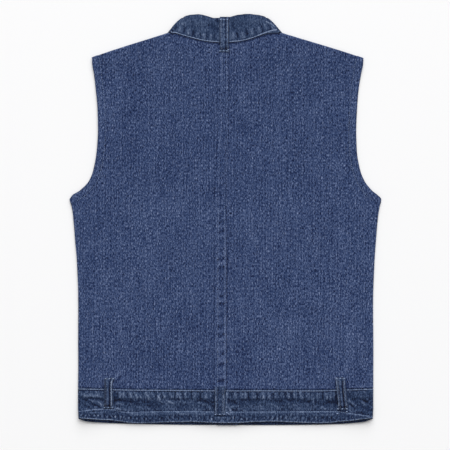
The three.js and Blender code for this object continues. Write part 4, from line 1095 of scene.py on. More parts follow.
# the band's main puckers and creases, and shade; columns as strokes() takes them. Hollows and troughs are painted
# darker as shade, and the dark strokes beside and below the loops are painted shadows.
BAND_CREASES_AND_SHADE = [
    # left end, outside the left loop
    (84.5, 392.2, 85.0, 395.0, 1.6, 0.25, 0.35), (90.5, 391.6, 91.0, 394.6, 1.6, 0.22, 0.30),
    (97.5, 391.4, 97.0, 395.0, 1.7, 0.30, 0.42), (86.5, 395.4, 99.5, 396.0, 1.7, 0.35, 0.40),
    (86.5, 397.8, 103.2, 399.4, 1.9, -0.35, -0.55), (80.0, 398.6, 90.0, 401.0, 1.7, -0.30, -0.45),
    (88.0, 399.6, 97.0, 402.2, 1.1, 0.25, 0.45), (96.0, 400.6, 103.0, 405.2, 1.2, 0.30, 0.60),
    (80.0, 394.6, 88.0, 396.2, 2.2, 0.25, 0.30), (88.0, 397.0, 102.0, 396.4, 1.5, 0.25, 0.40),
    (98.4, 401.8, 102.6, 407.4, 1.0, 0.15, 0.40), (92.0, 404.4, 100.0, 406.6, 1.6, -0.25, -0.40),
    (94.5, 404.6, 102.0, 407.6, 1.5, -0.25, -0.40), (81.0, 405.0, 90.0, 407.0, 2.0, -0.20, -0.25),
    (88.0, 409.6, 103.0, 409.3, 1.3, 0.25, 0.50), (84.0, 412.0, 88.0, 409.8, 1.1, 0.20, 0.45),
    (88.5, 412.8, 103.5, 412.2, 1.2, 0.15, 0.45), (90.0, 411.2, 103.0, 410.9, 1.0, -0.15, -0.45),
    # beside and below the left loop's foot, with painted shadows beside the loops and beside the lapped centre seam's
    # pale edge
    (114.0, 400.2, 121.0, 400.0, 2.6, -0.45, -0.60), (118.0, 400.0, 130.0, 401.0, 2.4, -0.35, -0.45),
    (114.6, 391.0, 114.4, 404.0, 1.5, -0.10, -0.60), (335.4, 392.0, 336.9, 405.0, 1.3, -0.10, -0.65),
    (226.4, 391.2, 226.1, 411.5, 0.85, 0.12, 0.62), (228.2, 392.0, 227.8, 405.0, 1.0, -0.10, -0.40),
    (213.9, 392.0, 213.9, 408.0, 1.1, -0.10, -0.25),
    (114.6, 404.6, 117.6, 402.8, 1.1, 0.25, 0.40), (117.6, 402.8, 122.0, 404.2, 1.1, 0.25, 0.35),
    (122.0, 404.2, 123.4, 408.0, 1.1, 0.22, 0.32), (117.4, 406.0, 120.4, 406.4, 2.2, -0.35, -0.40),
    (113.6, 409.6, 118.4, 407.8, 1.1, 0.30, 0.75), (118.4, 408.2, 121.6, 410.2, 1.1, 0.25, 0.55),
    (114.0, 411.2, 121.0, 411.6, 1.2, -0.25, -0.55), (123.0, 408.8, 129.4, 412.6, 1.3, 0.20, 0.35),
    # rope of slanted puckers below the seam, left half
    (119.6, 392.4, 120.4, 397.6, 1.5, 0.42, 0.55), (123.4, 392.8, 124.8, 397.4, 1.5, 0.45, 0.65),
    (130.2, 392.2, 131.4, 397.6, 1.5, 0.42, 0.60), (134.4, 392.6, 137.8, 398.6, 1.5, 0.48, 0.75),
    (139.2, 395.4, 142.8, 399.2, 1.4, 0.42, 0.65), (145.4, 392.2, 149.6, 399.4, 1.5, 0.45, 0.65),
    (151.5, 393.0, 153.6, 397.6, 1.5, 0.30, 0.40), (157.8, 395.4, 160.6, 401.4, 1.2, 0.45, 0.95),
    (163.0, 392.8, 164.8, 397.4, 1.4, 0.35, 0.50), (166.6, 400.4, 174.6, 404.2, 1.3, 0.42, 0.80),
    (170.0, 393.0, 171.8, 398.0, 1.5, 0.30, 0.42), (177.6, 392.8, 180.2, 398.0, 1.5, 0.40, 0.62),
    (180.5, 399.6, 185.0, 403.6, 1.3, 0.32, 0.55), (185.6, 392.6, 186.0, 397.8, 1.5, 0.35, 0.50),
    (194.6, 392.6, 195.2, 398.2, 1.7, 0.35, 0.48), (205.0, 392.4, 205.6, 398.6, 1.9, 0.35, 0.45),
    (210.4, 393.0, 211.0, 397.6, 1.4, 0.25, 0.40),
    # the hollows between them, painted darker as shade
    (117.4, 392.6, 117.8, 397.0, 1.3, -0.35, -0.65), (127.2, 393.0, 128.0, 398.0, 1.3, -0.35, -0.65),
    (133.0, 391.8, 133.8, 395.0, 1.0, -0.25, -0.45), (141.6, 392.2, 143.0, 395.4, 1.2, -0.30, -0.55),
    (155.0, 392.6, 156.4, 397.6, 1.3, -0.30, -0.55), (161.4, 393.4, 162.6, 398.8, 1.2, -0.35, -0.60),
    (167.4, 392.6, 168.6, 397.8, 1.2, -0.30, -0.50), (174.4, 393.0, 175.6, 399.0, 1.3, -0.35, -0.60),
    (182.4, 392.6, 183.0, 398.4, 1.3, -0.32, -0.60), (191.2, 392.4, 191.6, 398.6, 1.1, -0.38, -0.75),
    (200.4, 392.6, 200.8, 399.0, 1.6, -0.35, -0.65), (212.6, 393.0, 212.8, 400.4, 1.2, -0.34, -0.45),
    # trough under the rope, left half, painted darker as shade, with some pale puckers in it
    (130.0, 401.0, 139.0, 402.0, 2.9, -0.28, -0.35), (143.0, 401.4, 156.0, 402.6, 2.6, -0.24, -0.29),
    (166.0, 399.2, 186.0, 400.6, 2.0, -0.28, -0.35), (196.0, 400.0, 212.0, 402.0, 2.2, -0.28, -0.38),
    (197.0, 402.6, 204.0, 404.6, 1.2, 0.35, 0.60), (206.0, 403.6, 210.8, 408.6, 1.2, 0.28, 0.50),
    (198.0, 405.6, 199.2, 406.2, 1.4, 0.40, 1.00), (188.0, 402.6, 194.0, 405.6, 1.4, 0.25, 0.40),
    (126.0, 405.0, 162.0, 406.2, 6.0, -0.08, -0.13), (232.0, 402.6, 262.0, 403.6, 4.5, -0.08, -0.13),
    (300.0, 402.6, 334.0, 403.6, 4.5, -0.08, -0.12), (178.0, 406.4, 204.0, 406.8, 5.0, -0.05, -0.10),
    (148.0, 405.0, 158.0, 407.4, 2.1, -0.18, -0.17), (170.0, 406.6, 180.0, 409.0, 2.1, -0.18, -0.17),
    (204.6, 408.6, 209.4, 410.0, 2.1, -0.24, -0.29), (186.6, 411.3, 202.0, 411.2, 1.0, 0.22, 0.45),
    (164.0, 406.0, 168.0, 402.6, 1.2, 0.22, 0.40), (134.0, 405.4, 142.0, 408.4, 1.4, 0.20, 0.28),
    # beside the centre loop: pale ridges, and troughs painted darker as shade
    (226.0, 401.0, 229.4, 408.0, 1.2, 0.40, 0.60), (229.4, 408.0, 231.6, 412.6, 1.2, 0.40, 0.85),
    (228.0, 399.6, 236.6, 403.4, 2.2, -0.36, -0.50), (231.0, 406.6, 239.0, 406.0, 1.1, 0.25, 0.50),
    (232.0, 409.4, 237.0, 409.6, 2.2, -0.35, -0.55), (212.4, 402.0, 213.6, 412.0, 1.2, -0.26, -0.32),
    # rope, right half, with its hollows painted darker as shade
    (227.4, 392.4, 227.8, 397.4, 1.5, 0.30, 0.50), (235.0, 392.4, 235.6, 398.0, 1.7, 0.38, 0.55),
    (241.2, 392.4, 241.8, 398.4, 1.4, 0.38, 0.55), (245.0, 392.2, 245.6, 398.2, 1.4, 0.40, 0.60),
    (252.8, 392.2, 253.2, 398.2, 1.7, 0.42, 0.65), (263.0, 392.6, 263.4, 398.4, 1.6, 0.40, 0.60),
    (268.6, 392.8, 269.4, 397.8, 1.4, 0.32, 0.48), (275.4, 392.6, 276.6, 398.4, 1.5, 0.38, 0.58),
    (281.0, 392.8, 282.2, 397.4, 1.3, 0.30, 0.45), (287.4, 392.6, 288.8, 398.4, 1.6, 0.40, 0.60),
    (294.2, 392.6, 295.0, 397.8, 1.4, 0.32, 0.50), (300.4, 392.6, 301.8, 398.6, 1.6, 0.38, 0.55),
    (306.6, 393.0, 307.8, 397.8, 1.4, 0.32, 0.48), (311.6, 394.6, 313.4, 402.0, 1.1, 0.30, 0.50),
    (317.0, 393.4, 317.6, 399.0, 1.9, 0.40, 0.60), (326.2, 393.4, 326.8, 399.2, 1.5, 0.42, 0.65),
    (330.0, 394.0, 330.6, 398.4, 1.2, 0.28, 0.42), (333.8, 393.0, 334.0, 395.4, 1.3, 0.32, 0.55),
    (231.6, 392.6, 232.0, 398.4, 1.3, -0.32, -0.55), (238.4, 392.6, 238.8, 398.4, 1.2, -0.32, -0.55),
    (248.2, 392.4, 248.8, 399.0, 1.5, -0.40, -0.75), (257.2, 392.6, 257.8, 399.0, 1.7, -0.40, -0.75),
    (266.2, 393.0, 266.6, 398.6, 1.2, -0.32, -0.55), (272.4, 393.0, 273.0, 398.8, 1.4, -0.34, -0.60),
    (279.0, 393.0, 279.8, 398.8, 1.2, -0.30, -0.50), (285.0, 393.0, 285.8, 398.8, 1.3, -0.32, -0.58),
    (291.4, 393.0, 292.2, 398.8, 1.4, -0.34, -0.60), (298.0, 393.2, 298.6, 398.8, 1.3, -0.30, -0.50),
    (304.2, 393.0, 305.0, 399.0, 1.3, -0.34, -0.60), (310.6, 392.8, 311.0, 396.8, 1.2, -0.28, -0.50),
    (314.0, 392.6, 314.4, 397.0, 1.3, -0.32, -0.60), (322.4, 392.6, 322.8, 400.0, 1.5, -0.40, -0.75),
    (332.4, 396.4, 332.8, 400.0, 1.2, -0.28, -0.50),
    # trough, right half, painted darker as shade, with some pale puckers in it
    (240.0, 399.8, 263.0, 400.0, 2.0, -0.30, -0.41), (266.0, 400.6, 284.0, 401.6, 2.3, -0.26, -0.32),
    (288.0, 400.4, 310.0, 401.0, 2.3, -0.26, -0.32), (325.0, 402.0, 335.6, 402.4, 3.1, -0.40, -0.49),
    (246.0, 403.6, 252.0, 405.8, 1.4, 0.28, 0.45), (258.0, 403.0, 262.0, 407.2, 1.3, 0.25, 0.42),
    (243.0, 410.4, 247.0, 410.8, 1.2, 0.30, 0.70), (271.0, 404.0, 279.0, 407.6, 1.5, 0.25, 0.40),
    (284.0, 405.0, 290.0, 403.4, 1.4, 0.22, 0.36), (293.0, 404.4, 300.0, 408.2, 1.4, 0.24, 0.40),
    (304.0, 403.4, 309.0, 406.6, 1.3, 0.22, 0.36), (313.0, 402.0, 315.6, 406.6, 1.3, 0.24, 0.40),
    (320.4, 408.4, 323.0, 406.6, 1.0, 0.28, 0.60), (323.0, 406.6, 325.4, 409.2, 1.0, 0.25, 0.55),
    (264.0, 407.0, 270.0, 409.6, 2.1, -0.18, -0.20), (282.0, 408.4, 291.0, 409.6, 2.1, -0.18, -0.17),
    # right end, outside the right loop, with troughs painted darker as shade and a painted shadow below the loop's foot
    (348.2, 400.4, 356.0, 405.8, 1.4, 0.48, 0.75), (349.6, 403.4, 355.4, 408.4, 1.6, -0.40, -0.70),
    (361.2, 401.4, 366.8, 405.6, 1.1, 0.32, 0.65), (361.0, 404.4, 364.0, 402.4, 0.9, 0.22, 0.45),
    (361.6, 399.4, 367.6, 402.0, 1.5, -0.35, -0.60), (362.0, 406.4, 368.0, 408.4, 1.8, -0.25, -0.35),
    (349.6, 392.6, 350.0, 397.0, 1.8, -0.30, -0.50), (355.4, 391.6, 356.0, 396.6, 1.6, 0.22, 0.25),
    (358.6, 396.4, 370.0, 397.8, 2.0, 0.25, 0.22), (349.4, 408.6, 351.4, 412.6, 1.4, 0.25, 0.40),
    (345.6, 409.8, 347.0, 413.0, 1.3, -0.28, -0.55), (338.0, 411.6, 346.0, 412.4, 1.9, -0.35, -0.60),
    (351.0, 396.4, 371.0, 398.6, 7.0, -0.15, -0.17), (356.0, 404.0, 371.0, 409.5, 6.0, -0.10, -0.14),
    # second lines beside the stitched ones
    (130.0, 413.9, 160.0, 414.2, 0.9, 0.15, 0.34), (180.0, 413.9, 207.0, 413.9, 0.9, 0.15, 0.40),
    (318.6, 414.6, 335.0, 414.8, 0.9, 0.16, 0.40), (348.3, 413.3, 358.0, 414.6, 1.1, 0.18, 0.45),
    (358.0, 414.6, 369.0, 415.8, 1.1, 0.20, 0.60),
    # lump where the centre seam is turned into the hem, with painted shade along its upper side
    (221.0, 420.2, 223.6, 421.2, 2.6, 0.60, 0.55), (216.0, 417.6, 228.0, 417.8, 1.5, 0.25, 0.30),
    (214.0, 415.8, 230.0, 416.0, 1.2, -0.30, -0.55),
]
# pale dots and the hollows between them along the left part of the hem; the hollows are painted darker as shade
HEM_DOTS = []
for i in range(18):
    x = 80.6 + 4.35 * i + 0.5 * math.sin(2.3 * i)
    y = float(np.interp(x, [80, 118, 138, 160], [414.7, 416.7, 418.6, 418.4]))
    HEM_DOTS.append((x, y - 0.4, x + 0.5, y + 0.6, 1.3, 0.30, 1.20 - 0.014 * i))
    HEM_DOTS.append((x + 2.1, y - 0.9, x + 2.5, y + 0.9, 1.1, -0.25, -0.70))
for i in range(41):
    x = 159.4 + 4.35 * i + 0.7 * math.sin(2.9 * i)
    y = 418.2 + 0.55 * math.sin(1.7 * i + 0.4) - 0.9 * bell((x - 340) / 16)
    if not 212 < x < 229:
        pale = 0.62 + 0.34 * math.sin(3.7 * i + 1.0)
        HEM_DOTS.append((x, y - 0.5, x + 0.4, y + 0.6, 1.25, 0.20, pale))
        HEM_DOTS.append((x + 2.1, y - 0.9, x + 2.4, y + 0.9, 1.1, -0.18, -0.30 - 0.4 * pale))
BAND_WAVES = [(96, 5, 0.6, 0.16), (57, 174, 2.1, 0.11), (33, 30, 0.2, 0.06)]


def loop_shadow(x, y):
    """1 away from the belt loops, and 0 under them."""
    free = 1.0
    for cx, half in ((-204.6, 8.5), (-9.7, 9.5), (203.8, 9.5)):
        lean = 0.0 if cx < 200 else (-y - 303) * 0.065
        free = free * smooth((np.abs(x - cx - lean) - half + 2.5) / 3.5)
    return np.where(y < -340, 1.0, free)


def band_detail(X, Y):
    """Height of the waistband's back at each place, and its wear with painted shade and highlights."""
    b = band_seam(X) - Y
    c = Y - back_hem(X)
    hx = HEM_LINE["x"]
    line_x, line_y = px(hx, HEM_LINE["y"])
    stitched = through({"x": line_x, "y": line_y}, "x", "y")(X)
    over_hem = stitched - Y
    dz, w = strokes(X, Y, BAND_CREASES_AND_SHADE + HEM_DOTS)
    dz, w = 1.15 * dz, 1.5 * w - 0.05 * smooth(0.5 - X / 60) - 0.05 * smooth((X - 215) / 20)
    free = loop_shadow(X, Y)
    dz = dz * (0.2 + 0.8 * free)
    # small irregular puckers everywhere between the seam and the hem
    warp = X + 2.5 * seam_noise(X / 13) + 0.45 * b * (0.6 + 0.5 * rope_noise(X / 40 + 3))
    small = np.sin(2 * math.pi * warp / 8.1) * (0.55 + 0.45 * rope_noise(X / 15 + 30))
    dz = dz + 0.10 * small * between(b, 4, 14, 3) * free
    w = w + 0.14 * small * between(b, 4, 14, 3)
    grain = rope_noise(X / 2.4 + 500 + 0.2 * b) * wear_and_shade_noise(b / 3.3 + X / 60)
    dz = dz + 0.14 * grain * between(b, 4, 50, 3) * (0.3 + 0.7 * free)
    w = w + 0.45 * grain * between(b, 3, 52, 2)
    lean_x, lean_y = 0.82 * X - 0.57 * Y, 0.57 * X + 0.82 * Y
    slant = rope_noise(lean_y / 1.9 + 800) * (0.6 + 0.6 * wear_and_shade_noise(lean_x / 9.0 + lean_y / 6.0))
    slant = slant * between(b, 15, 40, 5) * mix(1.0, 0.35, smooth(0.5 + X / 60))
    dz = dz + 0.08 * slant * free
    w = w + 0.34 * slant
    # raised edge and its stitching, the raised rope, the trough; the groove under the edge and the trough are painted
    # darker as shade
    dz = dz + 0.20 * bell((b - 0.7) / 1.1) - 0.26 * bell((b - 3.1) / 1.0)
    dz = dz + 0.35 * between(b, 5, 13, 3.5) - 0.28 * between(b, 19, 29, 5)
    w = w + (1.55 + 0.35 * wear_and_shade_noise(X / 5.2 + 11)) * bell((b - 0.95) / 0.85) * (0.35 + 0.65 * free)
    w = w - (1.15 + 0.35 * wear_and_shade_noise(X / 21 + 60)) * bell((b - 3.0) / 0.9)
    w = w - 0.16 * between(b, 17, 28, 5)
    # turned hem: a stitched line with its groove painted darker as shade, puckers below it, and a rim made paler, as
    # wear and as a painted highlight on the folded edge
    dz = dz + 0.32 * smooth((over_hem + 1.0) / 2.5) - 0.30 * bell((over_hem + 0.4) / 1.1)
    w = w - 0.30 * bell((over_hem + 1.8) / 1.2) + (0.62 + 0.34 * wear_and_shade_noise(X / 4.4 + 90)) * bell((over_hem - 0.4) / 1.0) * (1 - 0.55 * smooth((-130 - X) / 20))
    pace = (X + 2.2 * seam_noise(X / 11 + 55)) / 7.7 - c / 26
    hem_rope = np.sin(2 * math.pi * pace) * between(c, 4.0, 11.5, 3.0) * (0.7 + 0.45 * rope_noise(X / 23 + 90))
    left_end = smooth((-110 - X) / 20)
    dz = dz + mix(0.17, 0.02, left_end) * hem_rope
    fluff = rope_noise(X / 1.7 + 950) * wear_and_shade_noise(c / 1.9 + X / 23) + 0.5 * seam_noise(X / 2.9 + c / 2.0 + 400)
    w = w + mix(0.34, 0.05, left_end) * hem_rope + 0.62 * fluff * between(c, 3.0, 12.5, 1.6)
    w = w - mix(0.26, 0.24, smooth(0.5 - X / 60)) * between(c, 3.0, 13, 2.0)
    w = w + (1.45 + 0.30 * wear_and_shade_noise(X / 6.1 + 33)) * bell((c - 1.4) / 1.05)
    dz = dz + waves(X, Y, BAND_WAVES) * between(c, 4, 60, 6)
    return dz, w


def corner_lift(x, y):
    """The band's two lower corners stand up a little from the surface."""
    return 4.0 * bell(np.maximum(0, 258 - np.abs(x)) / 46) * bell(np.maximum(0, y + 352) / 24)


def band_fold(side):
    rough = float(outline[side](-320.0))
    radius = (float(band_z(257.0)) - BAND_FRONT_Z) / 2
    return rough - SIGN[side] * (radius + BAND / 2), radius


def waistband_back():
    sheet = Sheet()
    lx, radius = band_fold("left")
    rx, _ = band_fold("right")
    v = np.concatenate([np.linspace(0, 0.1, 6)[:-1], np.linspace(0.1, 0.93, 37)[:-1], np.linspace(0.93, 1, 5)])[:, None]
    x = np.linspace(lx, rx, 440)[None, :]
    X = x + 0 * v
    Y = mix(band_seam(X), back_hem(X), v)
    dz, w = band_detail(X, Y)
    at_edge = smooth(np.minimum(X - lx, rx - X) / 6 + 0.25)
    Z = band_z(X) + dz * at_edge
    lift = corner_lift(X, Y)
    thick = BAND + 0.5 * smooth((Y - back_hem(X) < 17) * 1.0) + 0 * X
    thick = BAND + 0.45 * smooth((19 - (Y - back_hem(X))) / 3)
    groups = []

    def bend(side, steps=12):
        s = SIGN[side]
        fx = lx if side == "left" else rx
        col = 0 if side == "left" else -1
        z0, w0, t0 = Z[:, col], w[:, col], thick[:, col]
        y0 = Y[:, col]
        y1 = mix(band_seam(fx), front_hem(fx), v[:, 0])
        out = []
        for k in range(1, steps + 1):
            a = math.pi * k / steps
            across = (1 - math.cos(a)) / 2
            r = (z0 - BAND_FRONT_Z) / 2
            out.append((fx + s * r * math.sin(a), mix(y0, y1, across), mix(z0, BAND_FRONT_Z, across) + corner_lift(fx, mix(y0, y1, across)),
                        fx + s * radius * a, y0, mix(t0, BAND, across), w0 * (1 - across)))
        for q in (0.35, 0.7, 1.0):
            xt = fx - s * TURN * q
            out.append((xt + 0 * y0, mix(band_seam(xt), front_hem(xt), v[:, 0]),
                        BAND_FRONT_Z + corner_lift(xt, mix(band_seam(xt), front_hem(xt), v[:, 0])),
                        fx + s * (radius * math.pi + TURN * q) + 0 * y0, y0, BAND + 0 * y0, 0 * y0))
        cols = [np.stack([np.broadcast_to(o[i], y0.shape) for o in out], 1) for i in range(7)]
        return [c[:, ::-1] for c in cols] if side == "left" else cols

    for values in (bend("left"), [X, Y, Z + lift, X, Y, thick, w], bend("right")):
        groups.append(values)
    full = [np.concatenate([g[i] for g in groups], 1) for i in range(7)]
    full[0] = full[0] - 1.2 * np.sign(full[0]) * smooth((v - 0.55) / 0.45) * smooth((np.abs(full[0]) - 225) / 30)
    sheet.net(sheet.add(*full))
    return sheet.wall(flip=True, reverse=0.0)


def waistband_front(side):
    s = SIGN[side]
    sheet = Sheet()
    fx, _ = band_fold(side)
    outer = fx - s * (TURN + GAP)
    foot = FRONT_LAP + 2
    places = s * fine([-FRONT_LAP, foot, foot + LAP_RAMP, 45, 90, 135, 170, 205, 230, abs(outer)], 1.9)
    v = np.linspace(0, 1, 30)[:, None]
    X = places[None, :] + 0 * v
    Y = mix(band_seam(X), front_hem(X), v)
    lift = front_step(X, BAND + GAP) if side == "right" else 0.0
    c = Y - front_hem(X)
    b = band_seam(X) - Y
    # the strip of the front's hem that shows below the back's hem is painted darker, as the back's shadow on it; the
    # top edge is paler
    w = -0.78 * smooth((9 - c) / 5) + 0.3 * bell((b - 0.6) / 1.2)
    pucker = rope_noise(X / 4.3 + 800) * between(b, 4, 50, 3)
    w = w + 0.25 * pucker
    Z = BAND_FRONT_Z + lift + corner_lift(X, Y) + 0.10 * np.maximum(0, pucker) * smooth((c - 6) / 6)
    sheet.net(sheet.add(X, Y, Z, X, Y, BAND, w))
    return sheet.wall(flip=side == "right", reverse=0.0)


# ---------------------------------------------------------------- loops
# outlines of the loops, in picture pixels, from the top down
LOOPS = {
    "belt_loop_left": dict(rise=1.2, rows=table("y left right",
        (377.9, 104.9, 114.6), (378.9, 104.6, 114.5), (380.2, 104.4, 113.4), (381.8, 104.4, 112.5),
        (386.0, 104.5, 112.3), (395.0, 104.5, 112.4), (402.5, 104.5, 112.5), (405.6, 104.3, 112.6), (408.4, 103.9, 112.9))),
    "belt_loop_centre": dict(rise=0.45, rows=table("y left right",
        (386.4, 215.2, 224.9), (389.0, 215.1, 224.9), (392.0, 215.0, 224.8), (402.0, 215.0, 224.6),
        (410.0, 214.9, 224.5), (415.2, 214.7, 224.6))),
    "belt_loop_right": dict(rise=1.2, rows=table("y left right",
        (377.4, 335.6, 345.0), (380.0, 335.8, 345.0), (386.0, 336.3, 345.2), (395.0, 337.2, 345.9),
        (403.0, 338.0, 346.9), (407.0, 338.0, 347.8), (409.8, 337.2, 348.3))),
    "collar_loop": dict(rise=0.9, rows=table("y left right",
        (16.9, 219.9, 229.0), (18.6, 219.6, 228.8), (22.0, 219.8, 228.6), (34.0, 220.0, 228.5),
        (44.0, 220.2, 228.6), (48.6, 220.1, 229.0), (51.8, 219.4, 229.8))),
}


# wear and painted shade across each loop, from its left edge (-1) to its right edge (1): paler edges and ridges from
# wear, and grooves painted darker as shade
ACROSS = (-1.0, -0.87, -0.75, -0.5, -0.25, 0.0, 0.25, 0.5, 0.65, 0.8, 0.9, 1.0)
LOOP_WEAR_AND_SHADE = {
    "belt_loop_left": (0.40, -0.20, -1.00, -0.50, 0.70, 0.15, -1.10, -1.25, -0.50, 2.45, 1.40, -0.60),
    "belt_loop_centre": (0.20, 1.60, 0.30, -0.50, -0.15, 0.05, 0.10, -0.45, -0.30, 1.00, 0.90, 0.10),
    "belt_loop_right": (1.00, 2.00, -0.10, -1.25, 0.55, 0.75, -0.85, -1.30, -1.00, 0.90, 2.10, 0.40),
    "collar_loop": (0.50, 0.60, 0.00, -0.30, 0.50, 0.20, -0.45, -0.80, 0.00, 1.15, 0.75, -0.40),
}


def under_loop(x, y):
    """Highest point of what lies under a loop."""
    on_body = back_z(x, y) + lap_step(x, y) * (x < lap_over(y)) + CLOTH / 2
    z = np.where(y < band_seam(x), band_z(x) + BAND / 2 + 0.15, on_body)
    return np.where(y > neck_seam(x), collar_z(x) + BAND / 2, z)


def loop(name):
    shape = LOOPS[name]["rows"]
    rise = LOOPS[name]["rise"]
    ys = fine(shape["y"], 0.5)
    left = through(shape, "y", "left")(ys)
    right = through(shape, "y", "right")(ys)
    x0, y = px(left, ys)
    x1, _ = px(right, ys)
    a = np.concatenate([np.linspace(-1, -0.8, 4)[:-1], np.linspace(-0.8, 0.8, 25)[:-1], np.linspace(0.8, 1, 4)])
    X = mix(x0[:, None], x1[:, None], (a[None, :] + 1) / 2)
    Y = y[:, None] + 0 * X
    q = np.linspace(0, 1, len(ys))
    below = np.max([under_loop(X + dx, Y + dy) for dx in (-4, 0, 4) for dy in (-5, 0, 5)], axis=0)
    below = below.max(1)[:, None] + 0 * X
    for _ in range(3):
        below[1:-1] = np.maximum(below[1:-1], (below[:-2] + below[2:]) / 2)
    pinch = np.maximum(bell((q - 0.075) / 0.05), bell((q - 0.945) / 0.045))[:, None]
    arch = rise * np.sin(math.pi * np.clip((q - 0.02) / 0.96, 0, 1))[:, None] ** 0.8
    thick = 1.75 - 0.75 * smooth((np.abs(q - 0.5) - 0.43) / 0.05)[:, None] + 0 * X
    # turned edges, a rib between the two rows of stitches
    rib = 0.20 * bell((np.abs(a) - 0.86) / 0.16) - 0.20 * bell((np.abs(a) - 0.60) / 0.14) + 0.16 * bell(a / 0.28)
    Z = below + 0.3 + thick / 2 + 0.1 + arch + 0.7 * rib[None, :] * (1 - 0.6 * pinch) - 0.15 * pinch
    wave = 0.10 * seam_noise(ys / 3.3 + len(name) * 7)[:, None] * (1 - pinch)
    Z = Z + wave
    across = np.interp(a, ACROSS, LOOP_WEAR_AND_SHADE[name])[None, :]
    w = across * np.where(across > 0, 0.85 + 0.25 * wear_and_shade_noise(ys / 1.9 + 20)[:, None], 1.0)
    w = w - {"collar_loop": 0.11, "belt_loop_left": 0.20, "belt_loop_centre": 0.22}.get(name, 0.10)
    w = w * (1 - 0.5 * pinch) + 0.25 * rope_noise(ys / 1.6 + 140)[:, None] * (1 - pinch)
    # lines painted darker across the loop near its foot and at its top end, as shade where it is tacked down and turned
    # under
    w = w - 1.0 * bell((q[:, None] - 0.905) / 0.03) * (name != "belt_loop_centre")
    w = w - (0.1 if name == "belt_loop_centre" else 0.8) * bell((q[:, None]) / 0.02)
    sheet = Sheet()
    sheet.net(sheet.add(X, Y, Z, X * 1.0, Y, thick, w))
    return sheet.wall(flip=True, reverse=0.0)


# ---------------------------------------------------------------- build the cloth
surface = {}


def build(name, parts, slot, material):
    obj = make_object(name, *parts, slot, material)
    surface[name] = BVHTree.FromPolygons([v.co for v in obj.data.vertices], [p.vertices[:] for p in obj.data.polygons])
    return obj


for side in ("left", "right"):
    build(f"vest_back_{side}", back(side), "body_denim", BODY_DENIM)
    build(f"vest_front_{side}", front(side), "body_denim", BODY_DENIM)
build("vest_collar", collar(), "band_denim", BAND_DENIM)
build("vest_waistband_back", waistband_back(), "band_denim", BAND_DENIM)
for side in ("left", "right"):
    build(f"vest_waistband_front_{side}", waistband_front(side), "band_denim", BAND_DENIM)
for name in LOOPS:
    build(f"vest_{name}", loop(name), "band_denim", BAND_DENIM)


# ---------------------------------------------------------------- stitches
def drop(names, x, y):
    """Height and normal of the topmost cloth at a place, among some pieces."""
    best = None
    for name in names:
        hit, normal, _, _ = surface[name].ray_cast(Vector((x * MM, y * MM, 0.05)), Vector((0, 0, -1)))
        if hit is not None and (best is None or hit.z > best[0]):
            best = (hit.z, normal)
    return best


STITCH_RINGS = [(-1.0, 0.28, -0.55), (-0.72, 0.80, 0.05), (-0.25, 1.0, 0.32), (0.25, 1.0, 0.32), (0.72, 0.80, 0.05),
                (1.0, 0.28, -0.55)]


